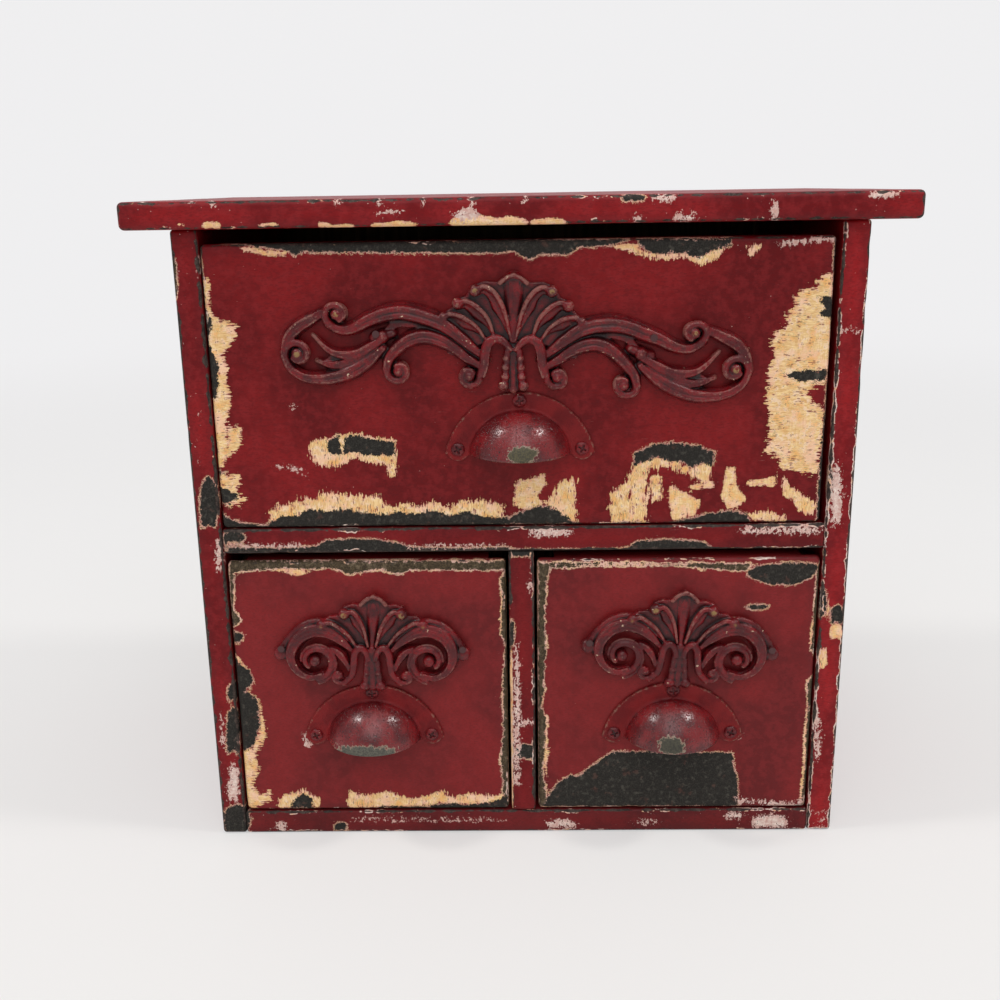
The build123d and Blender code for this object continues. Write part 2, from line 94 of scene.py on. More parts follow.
# ---------------------------------------------------------------- node helpers
class Tree:
    """Short calls that add linked nodes to one material."""

    def __init__(self, name):
        self.material = bpy.data.materials.new(name)
        self.material.use_nodes = True
        self.tree = self.material.node_tree
        self.tree.nodes.clear()
        self.output = self.tree.nodes.new("ShaderNodeOutputMaterial")

    def put(self, socket, value):
        if isinstance(value, bpy.types.NodeSocket):
            self.tree.links.new(value, socket)
        elif isinstance(value, tuple) and len(value) == 3 and socket.type == "RGBA":
            socket.default_value = (*value, 1)
        else:
            socket.default_value = value

    def node(self, kind, **inputs):
        node = self.tree.nodes.new(kind)
        for name, value in inputs.items():
            self.put(node.inputs[name], value)
        return node

    def math(self, operation, a, b=0.0):
        node = self.tree.nodes.new("ShaderNodeMath")
        node.operation = operation
        self.put(node.inputs[0], a)
        self.put(node.inputs[1], b)
        return node.outputs[0]

    def add(self, a, b):
        return self.math("ADD", a, b)

    def mul(self, a, b):
        return self.math("MULTIPLY", a, b)

    def off(self, value, middle=0.5):
        return self.math("SUBTRACT", value, middle)

    def rest(self, value):
        return self.math("SUBTRACT", 1.0, value)

    def most(self, a, b):
        return self.math("MAXIMUM", a, b)

    def sway(self, value, amount):
        """A noise of 0 to 1 made to swing round 0."""
        return self.mul(self.off(value), amount)

    def blend(self, kind, first, output, values, mode="MIX"):
        node = self.tree.nodes.new("ShaderNodeMix")
        node.data_type, node.blend_type = kind, mode
        for index, value in zip((0, first, first + 1), values):
            self.put(node.inputs[index], value)
        return node.outputs[output]

    def lerp(self, share, a, b):
        return self.blend("FLOAT", 2, 0, (share, a, b))

    def mix(self, share, a, b, mode="MIX"):
        return self.blend("RGBA", 6, 2, (share, a, b), mode)

    def step(self, value, low, high, to=(0.0, 1.0)):
        """A smooth ramp of value from low to high, onto the two values of to."""
        node = self.tree.nodes.new("ShaderNodeMapRange")
        node.interpolation_type = "SMOOTHSTEP"
        for socket, number in zip(node.inputs[:5], (value, low, high, *to)):
            self.put(socket, number)
        return node.outputs[0]

    def tinge(self, base, value, low, high, share, color):
        """base, with a share of color where value goes from low to high."""
        return self.mix(self.step(value, low, high, (0.0, share)), base, color)

    def place(self, scale, shift):
        """The place on the object in millimetres, stretched by scale."""
        if not hasattr(self, "coordinates"):
            self.coordinates = self.node("ShaderNodeTexCoord").outputs["Object"]
        node = self.node("ShaderNodeMapping", Vector=self.coordinates)
        node.inputs["Location"].default_value = shift
        node.inputs["Scale"].default_value = [value / MM for value in scale]
        return node.outputs[0]

    def noise(self, size, scale=(1, 1, 1), detail=3.0, roughness=0.55, shift=(0, 0, 0),
              distortion=0.0):
        """Noise whose lumps are about size millimetres, stretched by scale."""
        node = self.node("ShaderNodeTexNoise", Vector=self.place(scale, shift), Scale=1 / size,
                         Detail=detail, Roughness=roughness, Distortion=distortion)
        return node.outputs[0]

    def parts(self, name):
        """The three values of a vector attribute of the mesh."""
        node = self.tree.nodes.new("ShaderNodeAttribute")
        node.attribute_name = name
        return self.node("ShaderNodeSeparateXYZ", Vector=node.outputs["Vector"]).outputs

    def bump(self, height, distance, strength):
        return self.node("ShaderNodeBump", Height=height, Strength=strength,
                         Distance=distance).outputs[0]

    def finish(self, color, roughness, normal=None, **more):
        shader = self.node("ShaderNodeBsdfPrincipled",
                           **{"Base Color": color, "Roughness": roughness})
        for name, value in more.items():
            self.put(shader.inputs[name.replace("_", " ")], value)
        if normal is not None:
            self.put(shader.inputs["Normal"], normal)
        self.tree.links.new(shader.outputs[0], self.output.inputs["Surface"])
        return self.material


# ---------------------------------------------------------------- stage
FLOOR_SHADE, FLOOR_WHITE = (0.80, 0.787, 0.765), (0.885, 0.88, 0.89)
FLOOR_SIDE, FLOOR_FRONT, COVE_START, COVE, WALL_TOP, COVE_LINES = 5.0, -3.0, 1.2, 0.5, 2.4, 16
WORLD_COLOR, WORLD_STRENGTH = (0.97, 0.98, 1.0, 1), 0.50
AIM = Vector((0, -0.07, 0.12))   # what every lamp points at
WARM, WHITE = (1, 0.98, 0.95), (1, 1, 1)
LAMPS = [                        # azimuth, elevation, distance, size, watts, colour
    ("lamp_left", -82, 54, 1.6, 0.26, 6.8, WARM),
    ("lamp_right", 82, 54, 1.6, 0.26, 6.8, WARM),
    ("lamp_front", 0, 45, 2.0, 1.6, 10.0, WHITE),
    ("lamp_top", 5, 75, 1.7, 1.1, 3, WHITE),
]


def stage_material():
    """A plain floor that keeps its shadows near the object, and turns white far from it."""
    t = Tree("floor_white")
    rays = t.tree.nodes.new("ShaderNodeLightPath").outputs
    bounced = t.most(rays["Is Glossy Ray"], rays["Is Transmission Ray"])
    seen = t.most(rays["Is Camera Ray"], bounced)
    base = t.node("ShaderNodeBsdfDiffuse", Color=FLOOR_SHADE).outputs[0]
    pale = t.node("ShaderNodeEmission", Color=FLOOR_WHITE, Strength=1.0).outputs[0]
    length = t.node("ShaderNodeVectorMath", Vector=t.node("ShaderNodeTexCoord").outputs["Object"])
    length.operation = "LENGTH"
    away = length.outputs["Value"]
    share = t.add(t.step(away, 0.12, 0.50, (0.42, 0.62)), t.step(away, 0.45, 1.5, (0.0, 0.32)))
    mixed = t.node("ShaderNodeMixShader", Fac=t.mul(share, seen))
    t.tree.links.new(base, mixed.inputs[1])
    t.tree.links.new(pale, mixed.inputs[2])
    t.tree.links.new(mixed.outputs[0], t.output.inputs["Surface"])
    return t.material


def add_stage():
    mesh = bpy.data.meshes.new("floor")
    cove = [(COVE_START + COVE * math.sin(a), COVE - COVE * math.cos(a))
            for a in np.linspace(0, math.pi / 2, COVE_LINES)]
    line = [(FLOOR_FRONT, 0.0), *cove, (COVE_START + COVE, WALL_TOP)]
    points = [(x, y, z) for y, z in line for x in (-FLOOR_SIDE, FLOOR_SIDE)]
    faces = [(2 * i, 2 * i + 1, 2 * i + 3, 2 * i + 2) for i in range(len(line) - 1)]
    mesh.from_pydata(points, [], faces)
    mesh.polygons.foreach_set("use_smooth", [True] * len(faces))
    floor = bpy.data.objects.new("floor", mesh)
    scene.collection.objects.link(floor)
    mesh.materials.append(stage_material())
    floor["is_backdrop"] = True
    world = bpy.data.worlds.new("studio")
    world.use_nodes = True
    scene.world = world
    background = world.node_tree.nodes["Background"]
    background.inputs["Color"].default_value = WORLD_COLOR
    background.inputs["Strength"].default_value = WORLD_STRENGTH


def add_light(name, azimuth, elevation, distance, size, power, color):
    a, e = math.radians(azimuth), math.radians(elevation)
    way = Vector((math.sin(a) * math.cos(e), -math.cos(a) * math.cos(e), math.sin(e)))
    data = bpy.data.lights.new(name, "AREA")
    data.shape = "DISK"
    data.size, data.energy, data.color = size, power, color
    light = bpy.data.objects.new(name, data)
    light.matrix_world = way.to_track_quat("Z", "Y").to_matrix().to_4x4()
    light.matrix_world.translation = AIM + way * distance
    scene.collection.objects.link(light)


add_stage()
for lamp in LAMPS:
    add_light(*lamp)


# ---------------------------------------------------------------- chips in the paint
# Each chip: the layer it shows, the lean of its jags (0 across, 1 down), how ragged
# it is in millimetres, and its outline on the front: the first corner, then the steps
# from corner to corner, x and z in turn, all in tenths of a millimetre.
BLOT = np.array([(0, 0.55), (0.1, 0.15), (0.45, 0), (0.85, 0.12), (1, 0.5), (0.88, 1), (0.4, 0.9),
                 (0.08, 1)])     # corners of a small chip, as shares of its width and height
BLOT_LEAN, BLOT_LEAN_GROWTH, BLOT_SLOPE = 0.011, -0.00067, -0.01


def blots(*groups):
    """Chips shaped like BLOT: each group has a style and (left, top, width, height) boxes."""
    chips = []
    for layer, lean, ragged, boxes in groups:
        for left, top, width, height in boxes:
            tilt = (BLOT_LEAN + BLOT_LEAN_GROWTH * left) * height
            x = left + BLOT[:, 0] * width - BLOT[:, 1] * tilt
            z = top + BLOT[:, 0] * width * BLOT_SLOPE - BLOT[:, 1] * height
            steps = np.diff(np.stack([x, z], 1) * 10, axis=0, prepend=np.zeros((1, 2)))
            chips.append((layer, lean, ragged, steps.ravel()))
    return chips


UPPER_CHIPS = [
    ("cream", 0.0, 1.2, [-1055, 2054, 34, 3, 1, -45, -8, -42, 22, -42, 66, -26, -13, -59, -42, -34,
        13, -51, -8, -52, 14, -44, -8, -43, -17, -44, 0, -53, -5, -72, -21, -36, -26, 1, -1, 204,
        -2, 174, 1, 136]),
    ("cream", 0.0, 1.6, [-997, 1566, 52, -10, -8, -35, -11, -36, -42, -35]),
    ("cream", 0.0, 1.6, [-1044, 1396, 77, -5, -7, -41, -16, -22, 34, -24, -24, -22, -71, 3]),
    ("black", 0.5, 0.9, [-1046, 2176, 4, -123, 0, -74, 22, -68, -19, -67, 29, -69, -15, -121,
        -30, 0, 2, 224, -8, 168]),
    ("black", 0.0, 0.9, [-1048, 1351, 33, -14, 42, -28, -47, -24, -33, 7]),
    ("black", 0.0, 0.5, [-1043, 1405, 33, -4, -35, -12]),
    ("black", 0.5, 0.6, [-1044, 2180, 129, -14, 165, -25, 15, -18, 26, 14, 648, -12, 0, 40]),
    ("cream", 0.5, 0.6, [-916, 2162, 83, -17, 79, -6, -2, -16, -70, 3, -75, 16]),
    ("black", 0.5, 0.6, [-223, 2173, -1, -45, 208, 3, 51, -30, 31, 20, 94, -6, 31, 25, 103, 3,
        62, 19]),
    ("cream", 0.5, 0.8, [306, 2133, 19, 15, 62, -1, 11, -41, -31, 13]),
    ("cream", 1.0, 1.0, [387, 2132, 52, -18, 82, 3, 63, -5, 81, 26, -4, -31, -25, -14, -46, -18,
        -47, 24, -104, -4, -36, 11]),
    ("black", 1.0, 0.9, [386, 2163, 11, -28, 52, -21, 93, 2, 47, -23, 35, 28, 62, 16, -1, 22]),
    ("cream", 1.0, 0.8, [739, 2137, 44, 4, -4, -25, -30, -15]),
    ("pale", 0.5, 0.5, [839, 2150, 174, 8, 6, -6, -148, -14, -26, -4]),
    ("cream", 0.0, 1.8, [1025, 2046, -41, -4, -13, -41, -51, -10, -25, -25, 12, -31, -35, -21,
        12, -31, -46, -31, -3, -42, 13, -42, -30, -43, 13, -43, -8, -54, 18, -54, -2, -66, -8, -61,
        44, -17, 7, -39, 126, -24, 9, 28, 4, 111, 1, 87, -28, 22, -34, 33, 19, 32, 48, 0, 5, 85,
        -5, 168]),
    ("black", 0.0, 0.9, [871, 1716, 42, 8, 114, 5, -4, -34, -87, -6]),
    ("black", 0.0, 0.8, [973, 1967, 55, 2, 4, -69, -56, 8, 30, 25]),
    ("black", 0.5, 0.5, [1029, 2157, 0, -121, 5, -208, 4, -235, -1, -199, -2, -198, -17, 0, -1, 199,
        10, 198, -2, 236, -1, 207, -2, 121]),
    ("cream", 0.5, 0.8, [698, 1393, 32, 5, 9, -68, 34, -45, -26, -28, -38, -6, -24, 46]),
    ("cream", 1.0, 1.0, [889, 1368, 40, -45, 40, -29, 45, -29, -8, -40, -45, 6, -35, 52, -28, 12]),
    ("cream", 0.5, 0.9, [770, 1347, 97, 16, 2, -34, -98, 3]),
    ("cream", 1.0, 1.2, [776, 1228, 64, 16, 78, -24, -10, -19, -110, 3]),
    ("cream", 0.5, 0.8, [575, 1338, 86, 16, 2, -32, -77, -1]),
    ("cream", 1.0, 1.4, [372, 1397, 38, 27, 54, 13, 76, -20, 44, -17, 69, 33, -8, -79, -27, -11,
        -55, 35, -66, 23, -63, -5, -9, -85, 5, -105, -44, 1, -18, 128]),
    ("black", 1.0, 0.9, [383, 1408, 5, 44, 64, 27, 65, 5, 86, -12, 57, -23, -9, -44, -35, 8,
        -32, -17, -44, 29, -33, -5, -43, 17, -54, -22]),
    ("cream", 0.5, 1.0, [509, 1344, 106, -63, -10, -51, -81, -20, -19, 66]),
    ("cream", 1.0, 1.4, [300, 1307, 67, 45, 19, -145, -77, -3]),
    ("cream", 1.0, 1.6, [435, 1368, 41, 5, 11, -85, -42, -11]),
    ("cream", 1.0, 1.4, [116, 1321, 17, 39, 54, 5, 1, -156, -61, -3, -39, 75]),
    ("cream", 0.5, 1.2, [-21, 1356, 55, 11, 49, 16, 4, -45, -35, -34, 31, -29, -61, -28, -49, 26]),
    ("cream", 1.0, 1.6, [-249, 1210, 1, 63, 67, 19, 115, -13, 7, -54, -8, -17]),
    ("black", 1.0, 1.0, [-250, 1204, 1, 33, 67, 13, 44, -18, 99, -7, 34, 23, 77, 22, 44, -12,
        44, -35, 33, -23]),
    ("black", 1.0, 0.9, [513, 1194, 33, 16, 87, 19, 87, 16, 56, -17, 18, -37]),
    ("cream", 1.0, 1.8, [-882, 1216, 7, 37, 33, 32, 54, 4, 50, 27, 16, -25, 42, 39, 35, -6, 53, -10,
        53, -5, 40, 8, 20, -27, 35, -28, 45, 20, 35, -12, 71, 16, 43, -26, 63, 22, 52, -5, 60, -19,
        -1, -51]),
    ("black", 1.0, 1.1, [-888, 1195, 6, 21, 37, 21, 72, 8, 36, 20, 53, -10, 71, 9, 71, -12, 53, -10,
        71, 10, 53, -11, 53, 18, 53, -19, 71, -1, 112, -23, 0, -30]),
    ("black", 0.5, 0.6, [-1055, 1259, 49, -32, 52, -15, 71, -5, -1, -12, -171, 1]),
    ("cream", 1.0, 1.2, [-729, 1469, 16, 40, 53, 6, 35, 11, 70, 4, 60, -13, 71, -11, -5, -126,
        -24, -4, -11, 45, -52, 5, -52, 23, -36, -23, -27, -16, -61, 9, -21, 19]),
    ("black", 1.0, 0.7, [-661, 1510, 40, 10, 6, -55, 8, -6, 8, 59, 44, 5, 43, -11, 83, -15, -6, -45,
        -89, 3, -52, 12, -35, -13, -48, 10]),
    ("pale", 0.5, 0.4, [-774, 1614, 4, 15, 8, -2, -6, -14]),
    ("pale", 0.5, 0.4, [-841, 1421, 26, -2, 69, -11, 9, -29, -6, 5, -7, 18, -83, 10]),
]
LOWER_LEFT_CHIPS = [
    ("brown", 0.5, 0.7, [-1030, 1077, 979, -12, 0, -28, -96, -1, -119, 3, -119, 1, -52, -16,
        -34, 10, -34, 11, -103, -19, -67, 26, -69, -6, -102, 5, -147, -10, -39, -6]),
    ("cream", 0.5, 0.5, [-873, 1043, 26, 5, 103, -4, 17, -6, -35, -9, -35, -10, -34, 11]),
    ("brown", 0.0, 0.7, [-51, 1047, -3, -414, -5, -535, -25, 16, 6, 90, -8, 100, 11, 98, 2, 174,
        1, 57, 10, 113, -16, 56, 8, 119, -5, 73]),
    ("cream", 0.0, 0.5, [-80, 985, 12, -55, -5, -55, 12, -111, -20, 38, -2, 55, 7, 55]),
    ("brown", 0.5, 0.6, [-1031, 1066, 12, -54, -13, -118, 29, -38, -38, -27]),
    ("cream", 0.5, 0.6, [-1045, 731, 26, -24, 32, -47, -24, 9, -26, 29]),
    ("black", 0.5, 1.0, [-1042, 717, 26, -38, 29, -24, 8, -43, -39, -30, 47, -32, 4, -102, -34, -88,
        -35, -20, -12, 10, 1, 157, 2, 134]),
    ("black", 0.5, 0.6, [-1037, 812, 39, -11, -20, -33, -22, 5]),
    ("cream", 0.0, 1.4, [-1008, 588, 40, -34, 13, -62, 7, -83, -17, -49, -29, -30, 9, -70, -27, -59,
        23, -46, 40, 25, 5, -39, -67, -40, -34, 3, -4, 147, 2, 91, 46, 13, 35, 88, -4, 63]),
    ("cream", 1.0, 1.2, [-924, 124, 8, 23, 37, 17, 64, 15, 48, -36, -1, -35, -70, -8, -81, 3]),
    ("black", 1.0, 1.0, [-879, 100, 26, 47, 29, 22, 30, -31, 2, -38]),
    ("cream", 1.0, 1.3, [-664, 122, 12, 51, 54, -18, 91, 17, 71, -31, 63, 5, 65, 30, 35, -31,
        72, 15, 99, -11, 32, 20, 2, -55, -134, -2, -108, 5, -164, -15, -181, 1]),
    ("black", 0.5, 0.8, [-365, 93, 9, 12, 46, 14, 108, -7, 82, 12, 56, 20, 3, -53]),
    ("black", 0.5, 0.5, [-565, 94, 37, 18, 82, -6, 81, -3, 0, -10]),
    ("pale", 0.5, 0.2, [-811, 358, 2, 50, 11, 14, 4, -15, -3, -34, 18, -18]),
]
LOWER_RIGHT_CHIPS = [
    ("black", 0.5, 0.7, [783, 1010, 30, 30, 106, 11, 102, -3, 14, -19, -29, -35, -56, -24, -89, 4,
        -50, 20]),
    ("brown", 0.5, 0.6, [56, 1060, 401, -6, 142, 0, 201, -6, -17, -24, -147, 11, -90, 12, -267, 1,
        -187, -7, -10, -67, -7, -115, 6, -117, -10, -138, -18, -60]),
    ("brown", 0.0, 0.7, [53, 604, 23, -10, -14, -81, 18, -51, -5, -102, -10, -104, 13, -106,
        10, -47, -38, 0]),
    ("cream", 0.0, 0.7, [62, 564, 17, 10, -13, -71, 28, -46, -10, -56, 9, -72, -12, -73, 7, -63,
        -19, 63, 6, 104, -14, 82]),
    ("black", 0.5, 0.6, [64, 103, 24, 47, 38, 53, 47, 31, 19, -10, 131, 103, 438, -8, 7, -47,
        16, -63, 9, -111]),
    ("pale", 0.5, 0.5, [783, 135, 71, -13, 75, -7, 48, -7, 46, 15, 1, -17, -113, -3, -123, 9]),
    ("brown", 0.0, 0.6, [1040, 1050, 6, -200, 0, -146, -21, 20, 4, 136, 2, 162]),
    ("cream", 0.0, 0.6, [1029, 865, 6, -15, -1, -126, -17, 29, 4, 68]),
    ("brown", 0.0, 0.6, [1048, 625, -14, -10, -14, -19, 9, -81, -2, -121, 5, -93, -3, -115, -5, -84,
        24, -7, 2, 258]),
    ("cream", 0.0, 0.6, [1022, 556, 11, -101, 1, -102, -1, -146, -9, -105, -10, 11, 7, 136, -3, 145,
        3, 101]),
    ("black", 0.5, 0.3, [786, 889, 20, 8, 58, -1, 3, -9, -38, -10, -31, 2]),
    ("pale", 0.5, 0.3, [773, 377, 18, 13, -4, -15]),
]
TOP_CHIPS = blots(
    ("cream", 0.5, 0.45, [(-101.2, 224, 6.5, 2.3), (-109, 223.7, 2.4, 1.1), (-83, 223.3, 6.6, 1.2),
        (-64.2, 223.2, 4.5, 1.7), (-59.7, 222.6, 7.7, 1.4), (-47.1, 222.9, 5.7, 1.9),
        (-42.1, 223.3, 10, 2.4)]),
    ("cream", 0.5, 0.5, [(-21.9, 224.6, 16.1, 4), (-21.7, 225, 13.2, 4.2), (-9.6, 224.1, 13.2, 3.2),
        (3.6, 223.6, 12.1, 2.7)]),
    ("pale", 0.5, 0.5, [(-20.6, 226.9, 7.7, 3.9), (49.4, 224.2, 6.6, 2.3)]),
    ("pale", 0.0, 0.6, [(-44.5, 226.6, 8.1, 1)]),
    ("pale", 1.0, 0.3, [(-120.1, 231.4, 1.3, 2.2), (-104.3, 231.2, 1.3, 2.2),
        (-97.8, 231.1, 1.3, 2.2), (-57.7, 230.5, 1.4, 2.2), (-44.3, 230.3, 1.3, 2.2),
        (-31, 230.1, 1.4, 2.2), (-15.2, 229.8, 1.2, 2.2), (-15.5, 230.5, 1.4, 2.3),
        (1.6, 230.3, 1.4, 2.3)]),
    ("black", 0.5, 0.5, [(32.7, 230.5, 7.1, 2.3)]),
    ("pale", 0.5, 0.4, [(42.8, 230, 6.5, 1.7), (36.4, 223.7, 2.5, 1.8), (110.6, 229.8, 8, 1.6)]),
    ("pale", 1.0, 0.4, [(79.7, 227.9, 2.1, 6.6)]),
)
CASE_CHIPS = [
    ("black", 1.0, 0.5, [-1039, 1102, 3, 30, 195, -7, 120, 5, 35, 20, 85, 6, 101, -5, 68, -13,
        50, -15, 203, -5, 135, 3, 0, -30]),
    ("black", 1.0, 0.4, [-131, 1089, 0, 26, 161, -5, 266, -1, 425, -8, 301, 2, 1, -26]),
    ("pale", 1.0, 0.5, [-38, 453, 5, 221, 9, 82, 8, -65, 1, -210, -6, -285, -11, 58, -8, -58]),
    ("cream", 1.0, 0.3, [-55, 394, 5, 265, 7, 97, 5, -78, -1, -250, -6, -343, -7, 70, -6, -70]),
] + blots(
    ("black", 0.5, 0.5, [(-110.6, 138.9, 6.2, 19.1), (-107.3, 61.4, 4.8, 7.2),
        (108.4, 89.4, 4.8, 7.2)]),
    ("pale", 1.0, 0.4, [(-106.6, 116.3, 2, 8.9), (-109.7, 28.8, 4.2, 16.1), (105.1, 48.9, 2, 19.9),
        (105.4, 141.3, 3.5, 22.8)]),
    ("brown", 1.0, 0.4, [(-113.5, 212.5, 1.6, 13.6)]),
    ("cream", 1.0, 0.3, [(-112.7, 211.2, 0.8, 9.8), (106.3, 95.2, 1.2, 10.1)]),
    ("pale", 0.5, 0.2, [(-104.8, 212.8, 0.8, 0.8), (-105, 211.3, 0.8, 0.7),
        (-105.1, 209.5, 0.8, 0.7), (-105.3, 207.7, 0.9, 0.7), (-109.3, 161.6, 0.8, 0.8),
        (-110.1, 152.3, 0.8, 0.8), (-110.8, 144.3, 0.8, 0.8), (105.7, 8.6, 1.4, 0.9),
        (108.2, 7.1, 1.3, 0.9), (110.4, 4.8, 1.3, 1), (111.7, 8.2, 1.3, 1), (107.4, 2.7, 1.2, 1),
        (109.5, 1.4, 1.3, 1)]),
    ("pale", 1.0, 0.3, [(-107, 115.7, 1.7, 11.2), (-110.4, 50.9, 1, 15.7)]),
    ("black", 0.5, 0.6, [(-108.4, 51.9, 4.7, 19.1), (-3.8, 36.3, 8.1, 6.3)]),
    ("black", 0.5, 0.8, [(-112.6, 12.3, 10.2, 12.9)]),
    ("pale", 0.0, 0.3, [(-101.4, 114, 25.9, 0.8), (-40.7, 113.1, 34.7, 0.8),
        (-65.8, 5.9, 58.1, 0.8), (105.3, 186.2, 7.6, 1)]),
    ("pale", 0.5, 0.4, [(2.2, 119.3, 15.4, 3.5), (74.4, 118.7, 30.2, 2.5), (-2.4, 46, 6.5, 2),
        (-93.3, 4.9, 3.4, 4.6), (74.6, 7.8, 6.2, 2.6), (7.8, 5.1, 11.4, 3.5)]),
    ("black", 0.5, 0.4, [(37, 114.3, 28.8, 4.7), (-104.4, 118.8, 8, 3.9), (-71.6, 4.3, 4.9, 3.6),
        (104.1, 95.6, 2.5, 10.9)]),
    ("pale", 0.5, 0.3, [(1.8, 99.6, 1.7, 3.7), (40.1, 4.6, 9.6, 1.5)]),
    ("black", 1.0, 0.4, [(-4.7, 84.9, 1.6, 10.2)]),
    ("pale", 0.5, 0.6, [(84.2, 6.7, 13.6, 5.8)]),
    ("cream", 1.0, 0.4, [(105.2, 74, 3.1, 8.9)]),
    ("cream", 0.5, 0.4, [(108.3, 82.7, 4.9, 6.5)]),
    ("black", 1.0, 0.3, [(104.7, 139.5, 1.7, 11.3)]),
)


# ---------------------------------------------------------------- painted boards
TINY, VAST = 1e-9, 1e9           # keeps divisions from zero; further than any place
WAVES = 7


def waves(points, size, seed):
    """Smooth noise from about -1 to 1 at each point, its lumps about size millimetres."""
    rng = np.random.default_rng(seed)
    ways = rng.normal(size=(WAVES, 3))
    ways /= np.linalg.norm(ways, axis=1, keepdims=True)
    phases = rng.uniform(0, 2 * math.pi, WAVES)
    total = np.zeros(len(points))
    for way, phase in zip(ways, phases):
        total += np.sin(points @ way * (2 * math.pi / (size * 2.2)) + phase)
    return total / math.sqrt(WAVES)


def outline_distance(x, z, corners):
    """Distance from each place to a closed outline, negative inside it."""
    nearest = np.full(len(x), VAST)
    inside = np.zeros(len(x), bool)
    for (ax, az), (bx, bz) in zip(corners, np.roll(corners, -1, 0)):
        run, rise = bx - ax, bz - az
        share = ((x - ax) * run + (z - az) * rise) / (run * run + rise * rise + TINY)
        share = np.clip(share, 0, 1)
        nearest = np.minimum(nearest, np.hypot(x - ax - share * run, z - az - share * rise))
        crosses = (az > z) != (bz > z)
        inside ^= crosses & (x < ax + run * (z - az) / (rise if rise else TINY))
    return np.where(inside, -nearest, nearest)


def rulings(low, high, rim, pitch):
    """Places of the lines of a face's grid: close together over the rounded rims."""
    rims = rim * np.array([0, 0.2, 0.45, 0.72, 1.0])
    count = max(2, round((high - low - 2 * rim) / pitch))
    middle = np.linspace(low + rim, high - rim, count + 1)[1:-1]
    return np.concatenate([low + rims, middle, (high - rims)[::-1]])


def rounded_block(low, high, rim, pitch):
    """Points and quads of a block with rounded edges, on a fine grid."""
    lines = [rulings(low[axis], high[axis], rim, pitch) for axis in range(3)]
    points, quads = [], []
    for axis in range(3):
        a, b = [k for k in range(3) if k != axis]
        for side in (0, 1):
            ga, gb = np.meshgrid(lines[a], lines[b], indexing="ij")
            face = np.zeros((ga.size, 3))
            face[:, a], face[:, b] = ga.ravel(), gb.ravel()
            face[:, axis] = (low, high)[side][axis]
            na, nb = ga.shape
            start = sum(len(p) for p in points)
            index = start + np.arange(na * nb).reshape(na, nb)
            quad = np.stack([index[:-1, :-1], index[1:, :-1], index[1:, 1:], index[:-1, 1:]], -1)
            quad = quad.reshape(-1, 4)
            if (side == 0) != (axis == 1):
                quad = quad[:, ::-1]
            points.append(face)
            quads.append(quad)
    points, quads = np.concatenate(points), np.concatenate(quads)
    _, first, back = np.unique(np.round(points, 4), axis=0, return_index=True, return_inverse=True)
    points, quads = points[first], back.reshape(-1)[quads]
    core = np.clip(points, np.array(low) + rim, np.array(high) - rim)
    away = points - core
    length = np.linalg.norm(away, axis=1, keepdims=True)
    return np.where(length > 1e-6, core + away / np.maximum(length, 1e-6) * rim, points), quads


def make_mesh(name, points, quads):
    mesh = bpy.data.meshes.new(name)
    mesh.vertices.add(len(points))
    mesh.vertices.foreach_set("co", (points * MM).astype(np.float32).ravel())
    sides = quads.shape[1]
    mesh.loops.add(quads.size)
    mesh.loops.foreach_set("vertex_index", quads.astype(np.int32).ravel())
    mesh.polygons.add(len(quads))
    mesh.polygons.foreach_set("loop_start", np.arange(0, quads.size, sides, dtype=np.int32))
    mesh.polygons.foreach_set("use_smooth", np.full(len(quads), True))
    mesh.update(calc_edges=True)
    mesh.validate()
    piece = bpy.data.objects.new(name, mesh)
    scene.collection.objects.link(piece)
    return piece


def set_vector(piece, name, *values):
    """Puts three numbers a point on the mesh, for its material to read."""
    attribute = piece.data.attributes.new(name, "FLOAT_VECTOR", "POINT")
    attribute.data.foreach_set("vector", np.stack(values, 1).astype(np.float32).ravel())


def dress(piece, body, node, material):
    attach(piece, body)
    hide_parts(node)
    coat(piece, material)


def coat(piece, material):
    piece.data.materials.clear()
    piece.data.materials.append(material)


FAR, NEAR_CHIP = 30.0, 6.0       # no chip within this; a chip's style reaches this far
GAP, FRONT_DEPTH = 0.03, 3.0     # under the CAD face; how deep chips of the front go
KNOCK, KNOCK_REACH, WOBBLE = 0.45, 2.2, 0.08


def chip_fields(x, z, front, chips):
    """Distances to the nearest chip of each layer, and the style of the nearest chip."""
    fields = {kind: np.full(len(x), FAR) for kind in ("cream", "black", "pale", "brown")}
    lean, ragged = np.full(len(x), 0.5), np.full(len(x), 0.7)
    closest = np.full(len(x), NEAR_CHIP)
    for kind, chip_lean, chip_ragged, steps in chips:
        corners = np.cumsum(np.reshape(steps, (-1, 2)), 0) / 10
        distance = outline_distance(x, z, corners)
        fields[kind] = np.minimum(fields[kind], distance)
        near = np.abs(distance) < closest
        closest = np.where(near, np.abs(distance), closest)
        lean, ragged = np.where(near, chip_lean, lean), np.where(near, chip_ragged, ragged)
    return [np.where(front, field, FAR) for field in fields.values()], lean, ragged


